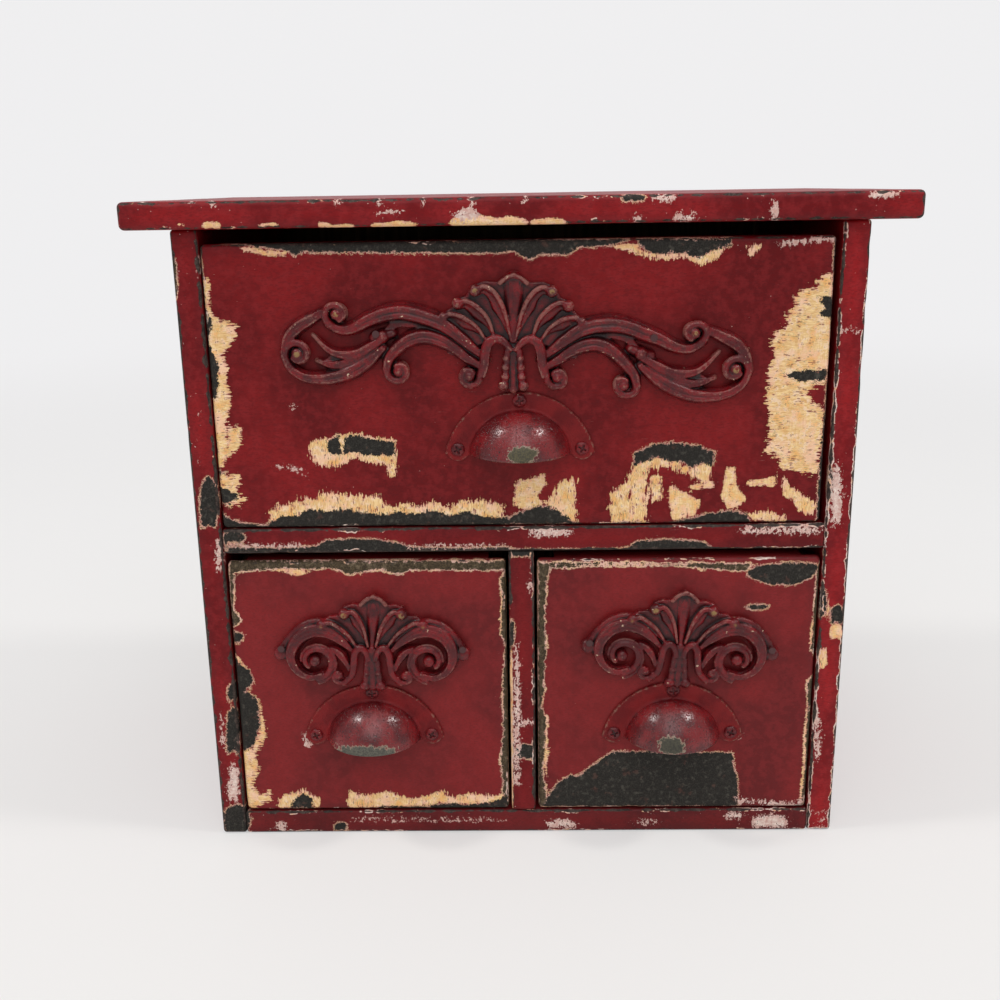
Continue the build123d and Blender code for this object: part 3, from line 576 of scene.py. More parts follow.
def board(name, body, node, rim, pitch, worn, chips, material, blocks=()):
    """A painted board with fine faces, that stands for a CAD board.

    worn lists the faces that show: (axis, side) each; wear gathers where two of
    them meet. chips are outlines on the front face. blocks are its blocks, as
    corners and rim in millimetres, for a board that isn't one block.
    """
    low, high = (np.array(corner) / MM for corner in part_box(node))
    all_points, all_quads, count = [], [], 0
    for block_low, block_high, block_rim in blocks or [(low, high, rim)]:
        points, quads = rounded_block(np.array(block_low) + GAP, np.array(block_high) - GAP,
                                      block_rim, pitch)
        all_quads.append(quads + count)
        all_points.append(points)
        count += len(points)
    points, quads = np.concatenate(all_points), np.concatenate(all_quads)
    x, y, z = points.T
    gaps = [np.abs(points[:, axis] - (low, high)[side][axis]) for axis, side in worn]
    edge = np.sort(np.array(gaps), axis=0)[1]
    front = y < low[1] + FRONT_DEPTH
    (cream, black, pale, brown), lean, ragged = chip_fields(x, z, front, chips)
    # knocks along the edges, and faces that are not quite flat
    centre = (low + high) / 2
    inward = np.sign(centre - points) * (np.abs(points - centre) > (high - low) / 2 - rim * 1.01)
    knock = np.clip(waves(points, 7, 11) - 1.0, 0, 1.2) * np.clip(1 - edge / KNOCK_REACH, 0, 1)
    uneven = WOBBLE * 0.5 * (1 + waves(points, 23, 5)) * 0.5
    piece = make_mesh(name, points + inward * (knock * KNOCK + uneven)[:, None], quads)
    set_vector(piece, "chips", cream, black, pale)
    set_vector(piece, "style", lean, ragged, edge)
    set_vector(piece, "more", brown, front.astype(float), edge * 0)
    dress(piece, body, node, material)


def painted(name, seed, rim_wear, outline, painted_sheen, painted_light_tint):
    """Worn crimson paint over cream and black layers, chipped as the attributes say.

    rim_wear is how far the edges are rubbed, outline how much of the rubbed part has a
    pale line beside it; the last two are a share of pinkish painted sheen, a painted
    reflection, and how bright the crimson is on the board, as painted light and shade.
    """
    t = Tree(name)
    shift = (seed * 13.7, seed * 5.1, seed * 7.3)

    def noise(size, detail, roughness, scale=(1, 1, 1), moved=(0, 0, 0)):
        return t.noise(size, scale, detail, roughness, tuple(map(sum, zip(shift, moved))))

    cream_chips, black_chips, pale_chips = t.parts("chips")
    lean, ragged, edge = t.parts("style")
    brown_chips = t.parts("more")[0]
    across = noise(0.55, 2, 0.6, (0.16, 1, 1))
    down = noise(0.55, 2, 0.6, (1, 1, 0.16))
    lumps = noise(1.7, 6, 0.68)
    broad = noise(6.0, 3, 0.5)
    fine = noise(0.33, 3, 0.6)
    streaks = t.lerp(lean, across, down)
    jag = t.mul(t.add(t.sway(streaks, 3.2), t.sway(lumps, 3.0)), ragged)
    jag = t.add(jag, t.sway(fine, 1.3))

    def mask(distance, shape, reach=0.0, soft=0.09):
        return t.step(t.add(distance, shape), reach + soft, reach - soft)

    islands = t.off(lumps)
    cream = mask(cream_chips, jag)
    black_jag = t.mul(t.add(t.mul(islands, 3.0), t.sway(streaks, 2.0)), ragged)
    black_jag = t.add(t.add(black_jag, t.mul(islands, 1.2)), t.sway(fine, 1.9))
    black = mask(black_chips, black_jag)
    halo = mask(black_chips, t.add(black_jag, t.sway(fine, 0.9)), 0.42)
    brown = mask(brown_chips, black_jag)
    brown_line = mask(brown_chips, t.add(black_jag, t.sway(broad, 1.6)), 0.5)
    crumbs = noise(0.62, 4, 0.7, (1, 1, 0.55), (30, 0, 0))
    crumbled = t.add(t.mul(jag, 1.4), t.sway(crumbs, 5.0))
    pale = mask(pale_chips, t.add(crumbled, t.mul(islands, 6.0)), -0.05, 0.12)
    # wear along the edges where two faces meet: dark, with a pale line beside it in places
    knocks = noise(4.0, 2, 0.5, moved=(20, 0, 0))
    rub = t.add(t.sway(knocks, 3.0), t.sway(lumps, 1.1))
    rub = t.add(t.off(edge, 0.75 * rim_wear), t.mul(rub, -rim_wear))
    rim = t.step(rub, 0.10, -0.10)
    thin = noise(1.6, 4, 0.6, moved=(50, 0, 0))
    runs = noise(16.0, 2, 0.5, moved=(70, 0, 0))
    there = t.add(t.sway(runs, 1.6), t.sway(thin, 1.1))
    rim_line = t.mul(t.step(rub, 0.42, 0.30), t.step(there, 0.34 - outline, 0.42 - outline))
    # flecks, thickest near the edges, and scratches
    dots = noise(0.9, 2, 0.5, moved=(90, 0, 0))
    near = t.step(edge, 9.0, 0.5, (0.790, 0.745))
    fleck = t.step(dots, near, t.add(near, 0.02))
    scratch = noise(0.5, 2, 0.5, (0.05, 1, 0.9), (0, 33, 4))
    scratches = t.mul(t.step(scratch, 0.765, 0.80), t.step(thin, 0.45, 0.6))

    # colours
    tone = noise(26, 3, 0.5, (1, 1, 0.8))
    mottle = noise(3.4, 5, 0.62)
    grain = noise(0.45, 3, 0.6, (0.4, 1, 1))
    crimson = t.mix(t.step(tone, 0.36, 0.64), (0.130, 0.0012, 0.0028), (0.235, 0.0060, 0.0078))
    crimson = t.tinge(crimson, mottle, 0.42, 0.62, 0.40, (0.275, 0.016, 0.019))
    crimson = t.tinge(crimson, grain, 0.47, 0.64, 0.42, (0.090, 0.003, 0.005))
    crimson = t.tinge(crimson, edge, 5.0, 0.0, 0.35, (0.085, 0.006, 0.009))
    # a share of pinkish painted sheen over the crimson: a painted reflection
    if painted_sheen:
        crimson = t.mix(painted_sheen, crimson, (0.27, 0.085, 0.085))
    # the crimson made brighter or darker board by board: painted light and shade (lit top and right
    # side, shaded bottom rail)
    crimson = t.mix(1.0, crimson, (painted_light_tint, painted_light_tint, painted_light_tint), "MULTIPLY")
    hatch = t.lerp(lean, noise(0.22, 2, 0.6, (0.10, 1, 1)), noise(0.22, 2, 0.6, (1, 1, 0.10)))
    tan = t.mix(t.step(hatch, 0.35, 0.66), (0.74, 0.41, 0.155), (1.0, 0.74, 0.38))
    tan = t.tinge(tan, lumps, 0.46, 0.60, 0.75, (1.0, 0.77, 0.58))
    tan = t.tinge(tan, mottle, 0.50, 0.62, 0.70, (0.92, 0.46, 0.11))
    tan = t.tinge(tan, broad, 0.50, 0.68, 0.6, (0.98, 0.60, 0.45))
    rosy = t.mul(t.step(t.add(cream_chips, jag), -1.1, -0.05),
                 t.step(lumps, 0.40, 0.60, (0.15, 0.85)))
    tan = t.mix(rosy, tan, (0.80, 0.36, 0.27))
    left = t.mul(t.step(streaks, 0.545, 0.60), t.step(lumps, 0.51, 0.57))
    tan = t.mix(t.mul(left, 0.85), tan, (0.24, 0.045, 0.035))
    specks = t.mul(t.step(hatch, 0.575, 0.63), t.step(mottle, 0.47, 0.55))
    tan = t.mix(t.mul(specks, 0.75), tan, (0.12, 0.075, 0.045))
    soot = t.mix(t.step(fine, 0.45, 0.72), (0.016, 0.014, 0.012), (0.050, 0.045, 0.037))
    soot = t.tinge(soot, lumps, 0.52, 0.68, 0.75, (0.085, 0.078, 0.064))
    soot = t.tinge(soot, mottle, 0.60, 0.68, 0.5, (0.085, 0.030, 0.022))
    umber = t.mix(t.step(fine, 0.40, 0.66), (0.030, 0.021, 0.013), (0.115, 0.080, 0.042))
    umber = t.tinge(umber, lumps, 0.50, 0.64, 0.7, (0.20, 0.15, 0.095))
    umber = t.tinge(umber, mottle, 0.56, 0.66, 0.6, (0.022, 0.018, 0.016))
    slate = t.mix(t.step(lumps, 0.40, 0.68), (0.026, 0.018, 0.016), (0.085, 0.060, 0.050))
    slate = t.tinge(slate, fine, 0.62, 0.72, 0.7, (0.40, 0.33, 0.28))
    chalk = t.mix(t.step(lumps, 0.35, 0.65), (0.62, 0.36, 0.31), (0.87, 0.74, 0.66))

    # the layers, from the one that shows most to the one that hides the rest
    color = t.mix(t.mul(scratches, 0.35), crimson, (0.42, 0.20, 0.18))
    for share, layer in [(t.mul(fleck, 0.85), chalk), (brown_line, t.mix(0.35, tan, chalk)),
                         (t.mul(halo, 0.9), t.mix(0.3, tan, chalk)), (cream, tan),
                         (brown, umber), (black, soot), (pale, chalk),
                         (t.mul(rim, t.rest(cream)), slate),
                         (t.mul(rim_line, t.rest(rim)),
                          t.mix(t.step(thin, 0.5, 0.7), chalk, tan))]:
        color = t.mix(share, color, layer)

    gone = t.most(t.most(cream, black), t.most(rim, brown))
    roughness = t.lerp(gone, t.step(mottle, 0.3, 0.7, (0.36, 0.52)), 0.66)
    brush = noise(0.8, 3, 0.5, (0.10, 1, 1))
    height = t.add(t.mul(gone, -1.0), t.add(t.mul(brush, 0.30), t.mul(mottle, 0.45)))
    height = t.add(height, t.mul(t.mul(hatch, gone), 0.35))
    return t.finish(color, roughness, t.bump(height, 0.00014, 0.9), Specular_IOR_Level=0.20)


PAINTS = {name: painted(name, *numbers) for name, *numbers in [
    # name, seed, rim_wear, outline, share of painted sheen, painted light and shade tint
    ("left_paint", 1.0, 1.15, 0.02, 0, 1.14),
    ("right_paint", 5.0, 0.95, 0.42, 0, 1.4),
    ("rail_paint", 6.0, 1.0, 0.22, 0, 0.9),
    ("foot_paint", 7.0, 0.8, 0.25, 0.08, 0.72),
    ("top_paint", 2.0, 0.95, 0.05, 0, 1.15),
    ("front_paint", 3.0, 0.7, 0.1, 0, 0.98),
    ("low_front_paint", 4.0, 0.6, 0.18, 0.10, 0.95),
]}
ALL_FACES = [(axis, side) for axis in range(3) for side in (0, 1)]
SIDE_FACES = ALL_FACES[:5]
RAIL_FACES = [(1, 0), (2, 0), (2, 1)]
POST_FACES = [(0, 0), (0, 1), (1, 0)]
FRONT_FACES = [(0, 0), (0, 1), (1, 0), (2, 0), (2, 1)]
for name, node, rim, pitch, faces, chips, paint in [
        ("worn_top", "top_board", 1.8, 1.4, ALL_FACES, TOP_CHIPS, "top_paint"),
        ("worn_left_side", "left_side", 1.2, 1.6, SIDE_FACES, CASE_CHIPS, "left_paint"),
        ("worn_right_side", "right_side", 1.2, 1.6, SIDE_FACES, CASE_CHIPS, "right_paint"),
        ("worn_shelf", "middle_shelf", 1.0, 1.6, RAIL_FACES, CASE_CHIPS, "rail_paint"),
        ("worn_bottom", "bottom_board", 1.0, 1.6, RAIL_FACES, CASE_CHIPS, "foot_paint"),
        ("worn_divider", "centre_divider", 1.0, 1.6, POST_FACES, CASE_CHIPS, "rail_paint")]:
    board(name, "cabinet", node, rim, pitch, faces, chips, PAINTS[paint])

DRAWER_SIDE, FRONT_LAP, FRONT_PITCH = 6.0, 3.6, 1.3
PLATE_RIM, INNER_RIM, OVERLAP = 1.6, 0.4, 2.0
for drawer, chips, paint in [("upper", UPPER_CHIPS, "front_paint"),
                             ("lower_left", LOWER_LEFT_CHIPS, "low_front_paint"),
                             ("lower_right", LOWER_RIGHT_CHIPS, "low_front_paint")]:
    low, high = (np.array(corner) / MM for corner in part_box(drawer + "_drawer_front"))
    plate = (low, (high[0], low[1] + FRONT_LAP, high[2]), PLATE_RIM)
    inner = ((low[0] + DRAWER_SIDE, low[1] + OVERLAP, low[2]),
             (high[0] - DRAWER_SIDE, high[1], high[2]), INNER_RIM)
    board("worn_%s_front" % drawer, drawer + "_drawer", drawer + "_drawer_front",
          PLATE_RIM, FRONT_PITCH, FRONT_FACES, chips, PAINTS[paint],
          (plate, inner))


# ---------------------------------------------------------------- castings
CELL = 0.32                      # pitch of the grids that castings are shaped on
FACE = -72.7                     # fronts of the drawers, millimetres
OUTSIDE = 3.0                    # distance in an empty grid
BASE = -1.0                      # castings begin this far behind the front
RIDGE_REACH, RIDGE_CLIP = 4, 1.5


class Casting:
    """A solid shaped on a grid: x and z along the front, h out of it, in millimetres."""

    def __init__(self, low, high, cell):
        self.low, self.cell = np.array(low, float), cell
        counts = np.ceil((np.array(high) - self.low) / cell).astype(int) + 1
        self.lines = [self.low[axis] + cell * np.arange(counts[axis]) for axis in range(3)]
        self.field = np.full(counts, OUTSIDE, np.float32)

    def window(self, low, high):
        """The part of the grid between two corners."""
        slices = []
        for axis, line in enumerate(self.lines):
            first, last = (int(np.clip((corner[axis] - self.low[axis]) / self.cell + more,
                                       0, len(line))) for corner, more in ((low, 0), (high, 2)))
            slices.append(slice(first, max(last, first)))
        grids = np.meshgrid(*[line[part] for line, part in zip(self.lines, slices)],
                            indexing="ij", sparse=True)
        return tuple(slices), grids

    def join(self, slices, distance, soft):
        """Joins a shape to the casting with a soft fillet."""
        self.field[slices] = smooth_min(distance, self.field[slices], soft)

    def strand(self, points, widths, heights, soft, flat=1.0):
        """A rounded strand through points; heights is that of its ridge off the front."""
        radii, tops = along(widths, len(points)) / 2, along(heights, len(points))
        reach = radii.max() + 1.6
        slices, (gx, gz, gh) = self.window((*(points.min(0) - reach), BASE),
                                           (*(points.max(0) + reach), tops.max() + reach))
        shape = self.field[slices].shape
        if 0 in shape:
            return
        best = np.full(shape, OUTSIDE, np.float32)
        for (ax, az), (bx, bz), ra, rb, ta, tb in zip(points, points[1:], radii, radii[1:],
                                                      tops, tops[1:]):
            pad = max(ra, rb) + 1.4
            near = [np.where((line > min(a, b) - pad) & (line < max(a, b) + pad))[0]
                    for line, a, b in ((gx[:, 0, 0], ax, bx), (gz[0, :, 0], az, bz))]
            if not len(near[0]) or not len(near[1]):
                continue
            sx, sz = (slice(part[0], part[-1] + 1) for part in near)
            x, z = gx[sx], gz[:, sz]
            run, rise = bx - ax, bz - az
            share = ((x - ax) * run + (z - az) * rise) / (run * run + rise * rise + TINY)
            share = np.clip(share, 0, 1)
            radius = ra + (rb - ra) * share
            centre = ta + (tb - ta) * share - radius * flat
            aside = np.hypot(x - ax - share * run, z - az - share * rise)
            distance = np.sqrt(aside**2 + ((gh - centre) / flat) ** 2) - radius
            best[sx, sz] = np.minimum(best[sx, sz], distance)
        self.join(slices, best, soft)

    def plate(self, corners, top, soft=0.4):
        """A flat plate with the outline corners."""
        slices, (gx, gz, gh) = self.window((*(corners.min(0) - 2), BASE - 1),
                                           (*(corners.max(0) + 2), top + 2))
        x, z = np.broadcast_arrays(gx[:, :, 0], gz[:, :, 0])
        aside = outline_distance(x.ravel(), z.ravel(), corners).reshape(x.shape)[:, :, None]
        over = np.maximum(gh - top, BASE - gh)
        self.join(slices, box_distance(aside, over).astype(np.float32), soft)

    def mesh(self, name, foot, floor=0.0):
        """The casting as a mesh on a drawer's front, its origin at foot (x, z)."""
        field = np.maximum(self.field, floor - self.lines[2][None, None, :]).astype(np.float32)
        field[0], field[-1], field[:, 0], field[:, -1], field[:, :, -1] = (1.0,) * 5
        padded = np.pad(field, 1, constant_values=1.0)
        grid = openvdb.FloatGrid(OUTSIDE)
        grid.copyFromArray(padded)
        points, quads = grid.convertToQuads(isovalue=0.0)
        points = np.asarray(points, float) - 1
        # how much a place stands out from what is round it: ridges above 0, grooves below
        soft = blurred(np.clip(padded, -RIDGE_CLIP, RIDGE_CLIP), RIDGE_REACH)
        index = np.clip(np.round(points + 1).astype(int), 0, np.array(padded.shape) - 1)
        ridge = soft[tuple(index.T)]
        x, z, h = (self.low + points * self.cell).T
        placed = np.stack([foot[0] + x, FACE - h, foot[1] + z], 1)
        piece = make_mesh(name, placed, np.asarray(quads)[:, ::-1])
        set_vector(piece, "cast", ridge, h, ridge * 0)
        set_vector(piece, "spot", x, z, h)
        return piece


def smooth_min(a, b, soft):
    share = np.clip(0.5 + 0.5 * (b - a) / soft, 0, 1)
    return b + (a - b) * share - soft * share * (1 - share)


def box_distance(a, b):
    """Distance to where both a and b are negative."""
    return np.hypot(np.maximum(a, 0), np.maximum(b, 0)) + np.minimum(np.maximum(a, b), 0)


def along(values, count):
    """values spread evenly over count places."""
    values = np.atleast_1d(np.asarray(values, float))
    if len(values) == 1:
        return np.full(count, values[0])
    return np.interp(np.linspace(0, 1, count), np.linspace(0, 1, len(values)), values)


def blurred(field, reach):
    """Mean over a cube of cells, reach cells each way."""
    for axis in range(3):
        pad = [(reach + 1, reach) if k == axis else (0, 0) for k in range(3)]
        total = np.cumsum(np.pad(field, pad, mode="edge"), axis=axis, dtype=np.float64)
        size = field.shape[axis]
        ahead = np.take(total, np.arange(2 * reach + 1, 2 * reach + 1 + size), axis=axis)
        behind = np.take(total, np.arange(size), axis=axis)
        field = (ahead - behind) / (2 * reach + 1)
    return field


def smooth_line(points, step=0.9):
    """Points along a smooth curve through points (Catmull-Rom), about step apart."""
    points = np.asarray(points, float)
    ends = np.vstack([2 * points[0] - points[1], points, 2 * points[-1] - points[-2]])
    line = [points[:1]]
    for a, b, c, d in zip(ends, ends[1:], ends[2:], ends[3:]):
        count = max(2, int(np.linalg.norm(c - b) / step) + 1)
        t = np.linspace(0, 1, count + 1)[1:, None]
        line.append(0.5 * (2 * b + (c - a) * t + (2 * a - 5 * b + 4 * c - d) * t**2
                           + (3 * b - a - 3 * c + d) * t**3))
    return np.vstack(line)


def spiral(centre, outer, inner, start, turn):
    share = np.linspace(0, 1, max(8, int(abs(turn) / 14)))
    angle, reach = np.radians(start + turn * share), outer + (inner - outer) * share
    return np.stack([centre[0] + reach * np.cos(angle), centre[1] + reach * np.sin(angle)], 1)


def offset_line(line, shifts):
    """The line moved aside by shifts, to its left where they are positive."""
    way = np.gradient(line, axis=0)
    way /= np.linalg.norm(way, axis=1, keepdims=True) + TINY
    shifts = along(shifts, len(line))[:, None]
    return line + np.stack([-way[:, 1], way[:, 0]], 1) * shifts


# ribs of a broad strand: fillet, width as a share, rise, spread, how far the strand is sunk
RIB_SOFT, RIB_SHARE, RIB_LIFT, RIB_SPREAD, RIB_SINK = 0.6, 0.74, 0.7, 0.55, 0.9


class Half:
    """Half of an ornament, drawn to the right and bent to its side by warp."""

    def __init__(self, casting, warp):
        self.casting, self.warp = casting, warp

    def line(self, points, *style):
        self.casting.strand(self.warp(np.asarray(points, float)), *style)

    def curve(self, points, *style):
        self.line(smooth_line(points), *style)

    def ball(self, x, z, width, top, *style):
        self.line([(x, z), (x + 0.01, z)], [width], [top], *style)

    def plate(self, corners, top):
        self.casting.plate(self.warp(np.asarray(corners, float)), top)

    def ribbed(self, points, widths, heights, ribs):
        """A broad strand with parallel ribs along it."""
        line = smooth_line(points)
        width, height = 1.14 * along(widths, len(line)), along(heights, len(line))
        flat = min(1.0, 0.85 * height.mean() / (width.mean() / 2 + 0.01))
        self.line(line, width, height - RIB_SINK, RIB_SOFT, flat)
        for index in range(ribs):
            aside = ((index + 0.5) / ribs - 0.5) * 2 * RIB_SPREAD
            size = np.maximum(width / ribs * RIB_SHARE, 0.7)
            top = height - RIB_SINK + RIB_LIFT * np.minimum(1, width / 3) - 0.5 * aside**2
            self.line(offset_line(line, width / 2 * aside * 1.15), size, top, RIB_SOFT * 0.55)

    def scroll(self, centre, outer, inner, start, turn, width, top, knob, knob_top):
        """A spiral over a low boss, with a knob at its centre."""
        self.line(spiral(centre, outer, inner, start, turn), [width, width * 0.75],
                  [top - 0.5, top + 0.1], 0.35)
        self.ball(*centre, 2 * outer * 0.9, 1.9, 0.5, 0.5)
        self.ball(*centre, 2 * knob, knob_top, 0.35)

    def shell(self, ribs):
        """Half a fan: ribs that curl out to a knob, with a hollow petal inside each."""
        for points, width, height, knob in ribs:
            line = smooth_line(points)
            self.line(offset_line(line, [0.2, -1.5, -0.8]), [0.8, 3.6, 2.4], [height - 1.3],
                      0.6, 0.5)
            self.line(line, [0.9, width, width], [height - 0.7, height, height + 0.1], 0.3)
            self.line(offset_line(line, [-0.2, -1.15, -0.9]), [0.5, 0.8, 0.7],
                      [height - 1.2, height - 0.9, height - 0.9], 0.2)
            end = np.array(points[-1])
            self.line([end, end + 0.01], [2 * knob], [height + 0.5], 0.4)

    def beads(self, places, top, growth):
        for bead, (x, z, size) in enumerate(places):
            self.ball(x, z, 2 * size, top + growth * bead, 0.35)


def upper_half(half):
    # upper strand of the arm, and its scroll
    half.ribbed([(8.5, 10.6), (12.5, 13.6), (17, 17.2), (23.5, 21.6), (30.6, 24.0), (36.8, 25.0),
                 (42.3, 24.4), (48.1, 22.2), (53, 19.6), (57.4, 18.8), (61.6, 20.6)],
                [2.4, 4.4, 5.8, 6.0, 5.6, 4.4, 3.0], [3.4, 4.6, 5.2, 5.2, 4.9, 4.4, 4.0], 2)
    half.scroll((58.7, 23.9), 4.0, 1.9, -62, 300, 2.7, 4.9, 1.8, 5.5)
    # lower strand and the drop scroll
    half.ribbed([(9.6, 7.0), (13.8, 9.6), (18.5, 13.4), (23.7, 16.2), (29.4, 17.4), (34.4, 16.2),
                 (38.6, 13.4), (41.6, 9.8), (42.6, 6.2)],
                [2.0, 3.8, 5.2, 5.4, 4.6, 3.2], [3.0, 4.4, 5.0, 5.0, 4.8, 4.4], 2)
    half.scroll((38.8, 5.5), 3.8, 1.8, 12, -300, 2.7, 4.7, 1.8, 5.2)
    # bulb that the pin holds
    half.ribbed([(40.6, 18.0), (43.4, 17.2), (46.4, 16.4)], [3.4, 4.4, 3.6], [3.6, 4.0, 3.6], 1)
    half.ball(43.6, 17.0, 4.2, 4.9, 0.3)
    # inner and outer strand of the end loop, its scroll and the band that closes it
    half.ribbed([(43.6, 16.0), (47.6, 13.6), (52, 11.2), (57.0, 10.6), (61.6, 12.0),
                 (66.6, 16.8)], [2.6, 3.8, 3.8, 2.4, 1.2], [4.2, 4.6, 4.4, 3.4], 2)
    half.ribbed([(43.4, 13.2), (47.4, 9.6), (52.1, 6.2), (57.9, 3.6), (64.2, 2.3), (69.9, 2.8),
                 (74.0, 5.6), (76.0, 10.0)],
                [2.6, 4.6, 5.4, 5.0, 4.0, 3.2, 2.6], [4.2, 5.0, 5.2, 5.0, 4.8], 2)
    half.scroll((71.5, 10.4), 4.3, 2.0, -10, 320, 2.8, 5.0, 2.0, 5.5)
    half.ribbed([(76.0, 10.4), (74.6, 15.0), (71.4, 18.8), (67.3, 21.6), (62.4, 24.6)],
                [2.8, 4.6, 4.4, 2.8], [4.6, 4.5, 4.3, 4.0], 3)
    # arch over the open slot, the scroll at its foot and the leaf beside it
    arch = smooth_line([(0.9, 14.2), (3.0, 16.6), (5.6, 17.6), (8.2, 16.2), (9.3, 13.0),
                        (9.7, 9.2), (10.9, 5.4)])
    half.line(arch, [1.8, 3.0, 3.2, 2.6], [4.6, 5.0, 5.0, 4.6], 0.4)
    half.line(offset_line(arch, [-0.6, -1.25, -1.2]), [0.9], [4.0, 4.7, 4.6], 0.2)
    half.scroll((14.6, 4.9), 3.6, 1.7, 178, 320, 2.6, 4.6, 1.8, 5.2)
    half.ribbed([(10.6, 8.2), (13.6, 10.0), (17.4, 11.8), (21.6, 12.4)], [2.6, 3.4, 1.0],
                [4.2, 4.4, 3.0], 2)
    # plates behind the shell, the end loop and the arm
    half.plate([(0, 15), (6, 16.4), (12, 15), (23, 22), (24, 24.4), (21.4, 26.6), (19.4, 27.6),
                (19.2, 30.2), (15.6, 31.0), (13.6, 34.6), (9.6, 36.0), (5.4, 35.8), (2.6, 38.0),
                (0, 38.6)], 2.3)
    half.plate([(46, 13), (52, 12), (60, 11), (63.0, 8.6), (60, 5), (52, 8)], 2.8)
    half.plate([(28, 20), (38, 20), (44, 18), (40, 23), (30, 23)], 2.4)
    half.ribbed([(45.6, 13.8), (49.6, 10.8), (54.6, 8.2), (60.4, 7.0), (65.6, 8.2)],
                [2.4, 4.2, 3.8, 1.6], [3.6, 4.3, 4.3, 3.2], 2)
    half.shell([
        ([(9.1, 17.3), (12.1, 21.4), (16.7, 24.3), (20.6, 25.2), (23.2, 24.2)], 1.8, 4.5, 1.55),
        ([(6.2, 18.0), (8.4, 24.0), (12.1, 27.9), (15.4, 29.6), (18.3, 28.7)], 1.8, 4.7, 1.85),
        ([(0.6, 16.9), (2.8, 26.0), (5.8, 32.0), (9.4, 34.4), (12.5, 33.1)], 1.8, 4.9, 2.0)])
    # the stem: beads at its side, and the tip of the shell
    half.beads(((2.3, 11.2, 1.2), (2.5, 8.2, 1.35), (2.7, 5.0, 1.4), (3.3, 2.0, 1.75)), 4.3, 0.15)
    half.curve([(2.9, 1.8), (2.5, 7), (1.9, 13.6)], [2.6, 2.4], [3.7, 4.0], 0.5)
    half.curve([(0, 38.2), (2.2, 37.4), (4.4, 35.6)], [1.5], [4.0], 0.4)


def upper_middle(half):
    half.curve([(0, 17), (0, 25), (0, 36)], [1.4, 4.2, 7.0], [3.8, 3.5, 3.4], 0.8, 0.5)
    half.curve([(0, 1.0), (0, 8), (0, 16.4)], [3.4], [3.3], 0.4, 0.8)


def lower_half(half):
    half.plate([(0, 14), (6, 15), (9, 17), (17, 24), (18.2, 26.6), (15.6, 28.4), (11.4, 28.8),
                (10.6, 32.0), (7.6, 33.0), (5.0, 32.8), (2.4, 35.4), (0, 36.4)], 2.0)
    # rim of the arm, the great scroll below it and its inner curl
    half.ribbed([(7.0, 15.6), (10.6, 19.4), (15.4, 22.8), (20.6, 23.6), (25.4, 21.4),
                 (28.4, 17.0), (28.8, 12.4), (26.6, 8.0), (22.2, 5.6), (18.0, 6.6)],
                [1.8, 4.4, 6.2, 6.2, 5.2, 3.8, 3.0, 2.4], [3.4, 4.3, 4.7, 4.7, 4.5, 4.2], 3)
    eye = (20.4, 11.8)
    half.line(spiral(eye, 7.0, 3.0, 262, -300), [2.8, 2.4, 1.8], [3.8, 4.3, 4.3], 0.35)
    half.line(spiral(eye, 8.6, 5.0, 262, -260), [1.2, 0.9], [3.4, 3.6], 0.3)
    half.ball(*eye, 4.4, 4.7, 0.35)
    half.curve([(12, 24.6), (18.2, 26.9), (24.4, 25.6), (29.4, 21.0), (32.3, 16.4)],
               [1.2, 2.0, 2.2, 2.4], [2.6, 3.2, 3.4, 3.6], 0.5)
    half.ball(32.5, 14.6, 5.4, 4.2, 0.4, 0.8)
    # arch over the slot, the ball at its foot and the leaf beside it
    half.curve([(1.3, 12.6), (2.2, 15.6), (4.2, 17.0), (6.0, 14.8), (6.5, 10.6), (7.4, 6.4),
                (10.0, 3.4)], [2.0, 2.7, 2.7, 2.2], [4.3, 4.6, 4.6, 4.2], 0.4)
    half.line(spiral((11.8, 6.2), 2.9, 1.6, 200, 230), [1.9, 1.4], [4.0, 4.4], 0.35)
    half.ball(11.9, 6.4, 3.4, 4.7, 0.3)
    half.ribbed([(8.2, 8.6), (9.8, 12.4), (12.6, 15.6), (16.2, 16.8)], [1.8, 3.2, 1.2],
                [4.0, 4.4, 3.0], 2)
    half.shell([
        ([(5.6, 17.6), (8.8, 22.2), (12.8, 25.4), (15.4, 26.6), (18.0, 25.6)], 1.7, 4.4, 1.95),
        ([(1.4, 17.6), (3.1, 24.4), (5.4, 29.0), (7.6, 30.8), (10.2, 29.8)], 1.7, 4.6, 2.05)])
    # the stem: beads at its side, and the tip of the shell
    half.beads(((1.8, 10.6, 1.1), (2.0, 7.4, 1.2), (2.9, 2.2, 1.9)), 4.0, 0.2)
    half.curve([(2.4, 2.2), (2.2, 7), (1.7, 13.2)], [2.4, 2.2], [3.8], 0.4)
    half.ball(2.7, 2.3, 3.6, 4.6, 0.4)
    half.curve([(0, 36.2), (2.4, 35.2), (4.4, 33.2)], [1.5], [3.7], 0.4)


def lower_middle(half):
    half.curve([(0, 17), (0, 24), (0, 33.6)], [1.2, 3.2, 5.4], [3.0, 2.9, 2.4], 0.6, 0.5)
    half.curve([(0, 1.8), (0, 8), (0, 16)], [3.0], [3.7], 0.4, 0.8)


LEAN_START = 15                  # height from which an ornament leans


def warp_for(side, bends, tilt, lean):
    """Bends a half to its side: bends lists (x, shift, rise); tilt turns it, in degrees."""
    table, a = np.array(bends, float), math.radians(tilt)

    def warp(line):
        x, z = np.abs(line[:, 0]), line[:, 1]
        shift, rise = (np.interp(x, table[:, 0], table[:, k]) for k in (1, 2))
        x, z = side * (x + shift) + lean * np.maximum(z - LEAN_START, 0), z + rise
        return np.stack([x * math.cos(a) + z * math.sin(a), z * math.cos(a) - x * math.sin(a)], 1)
    return warp


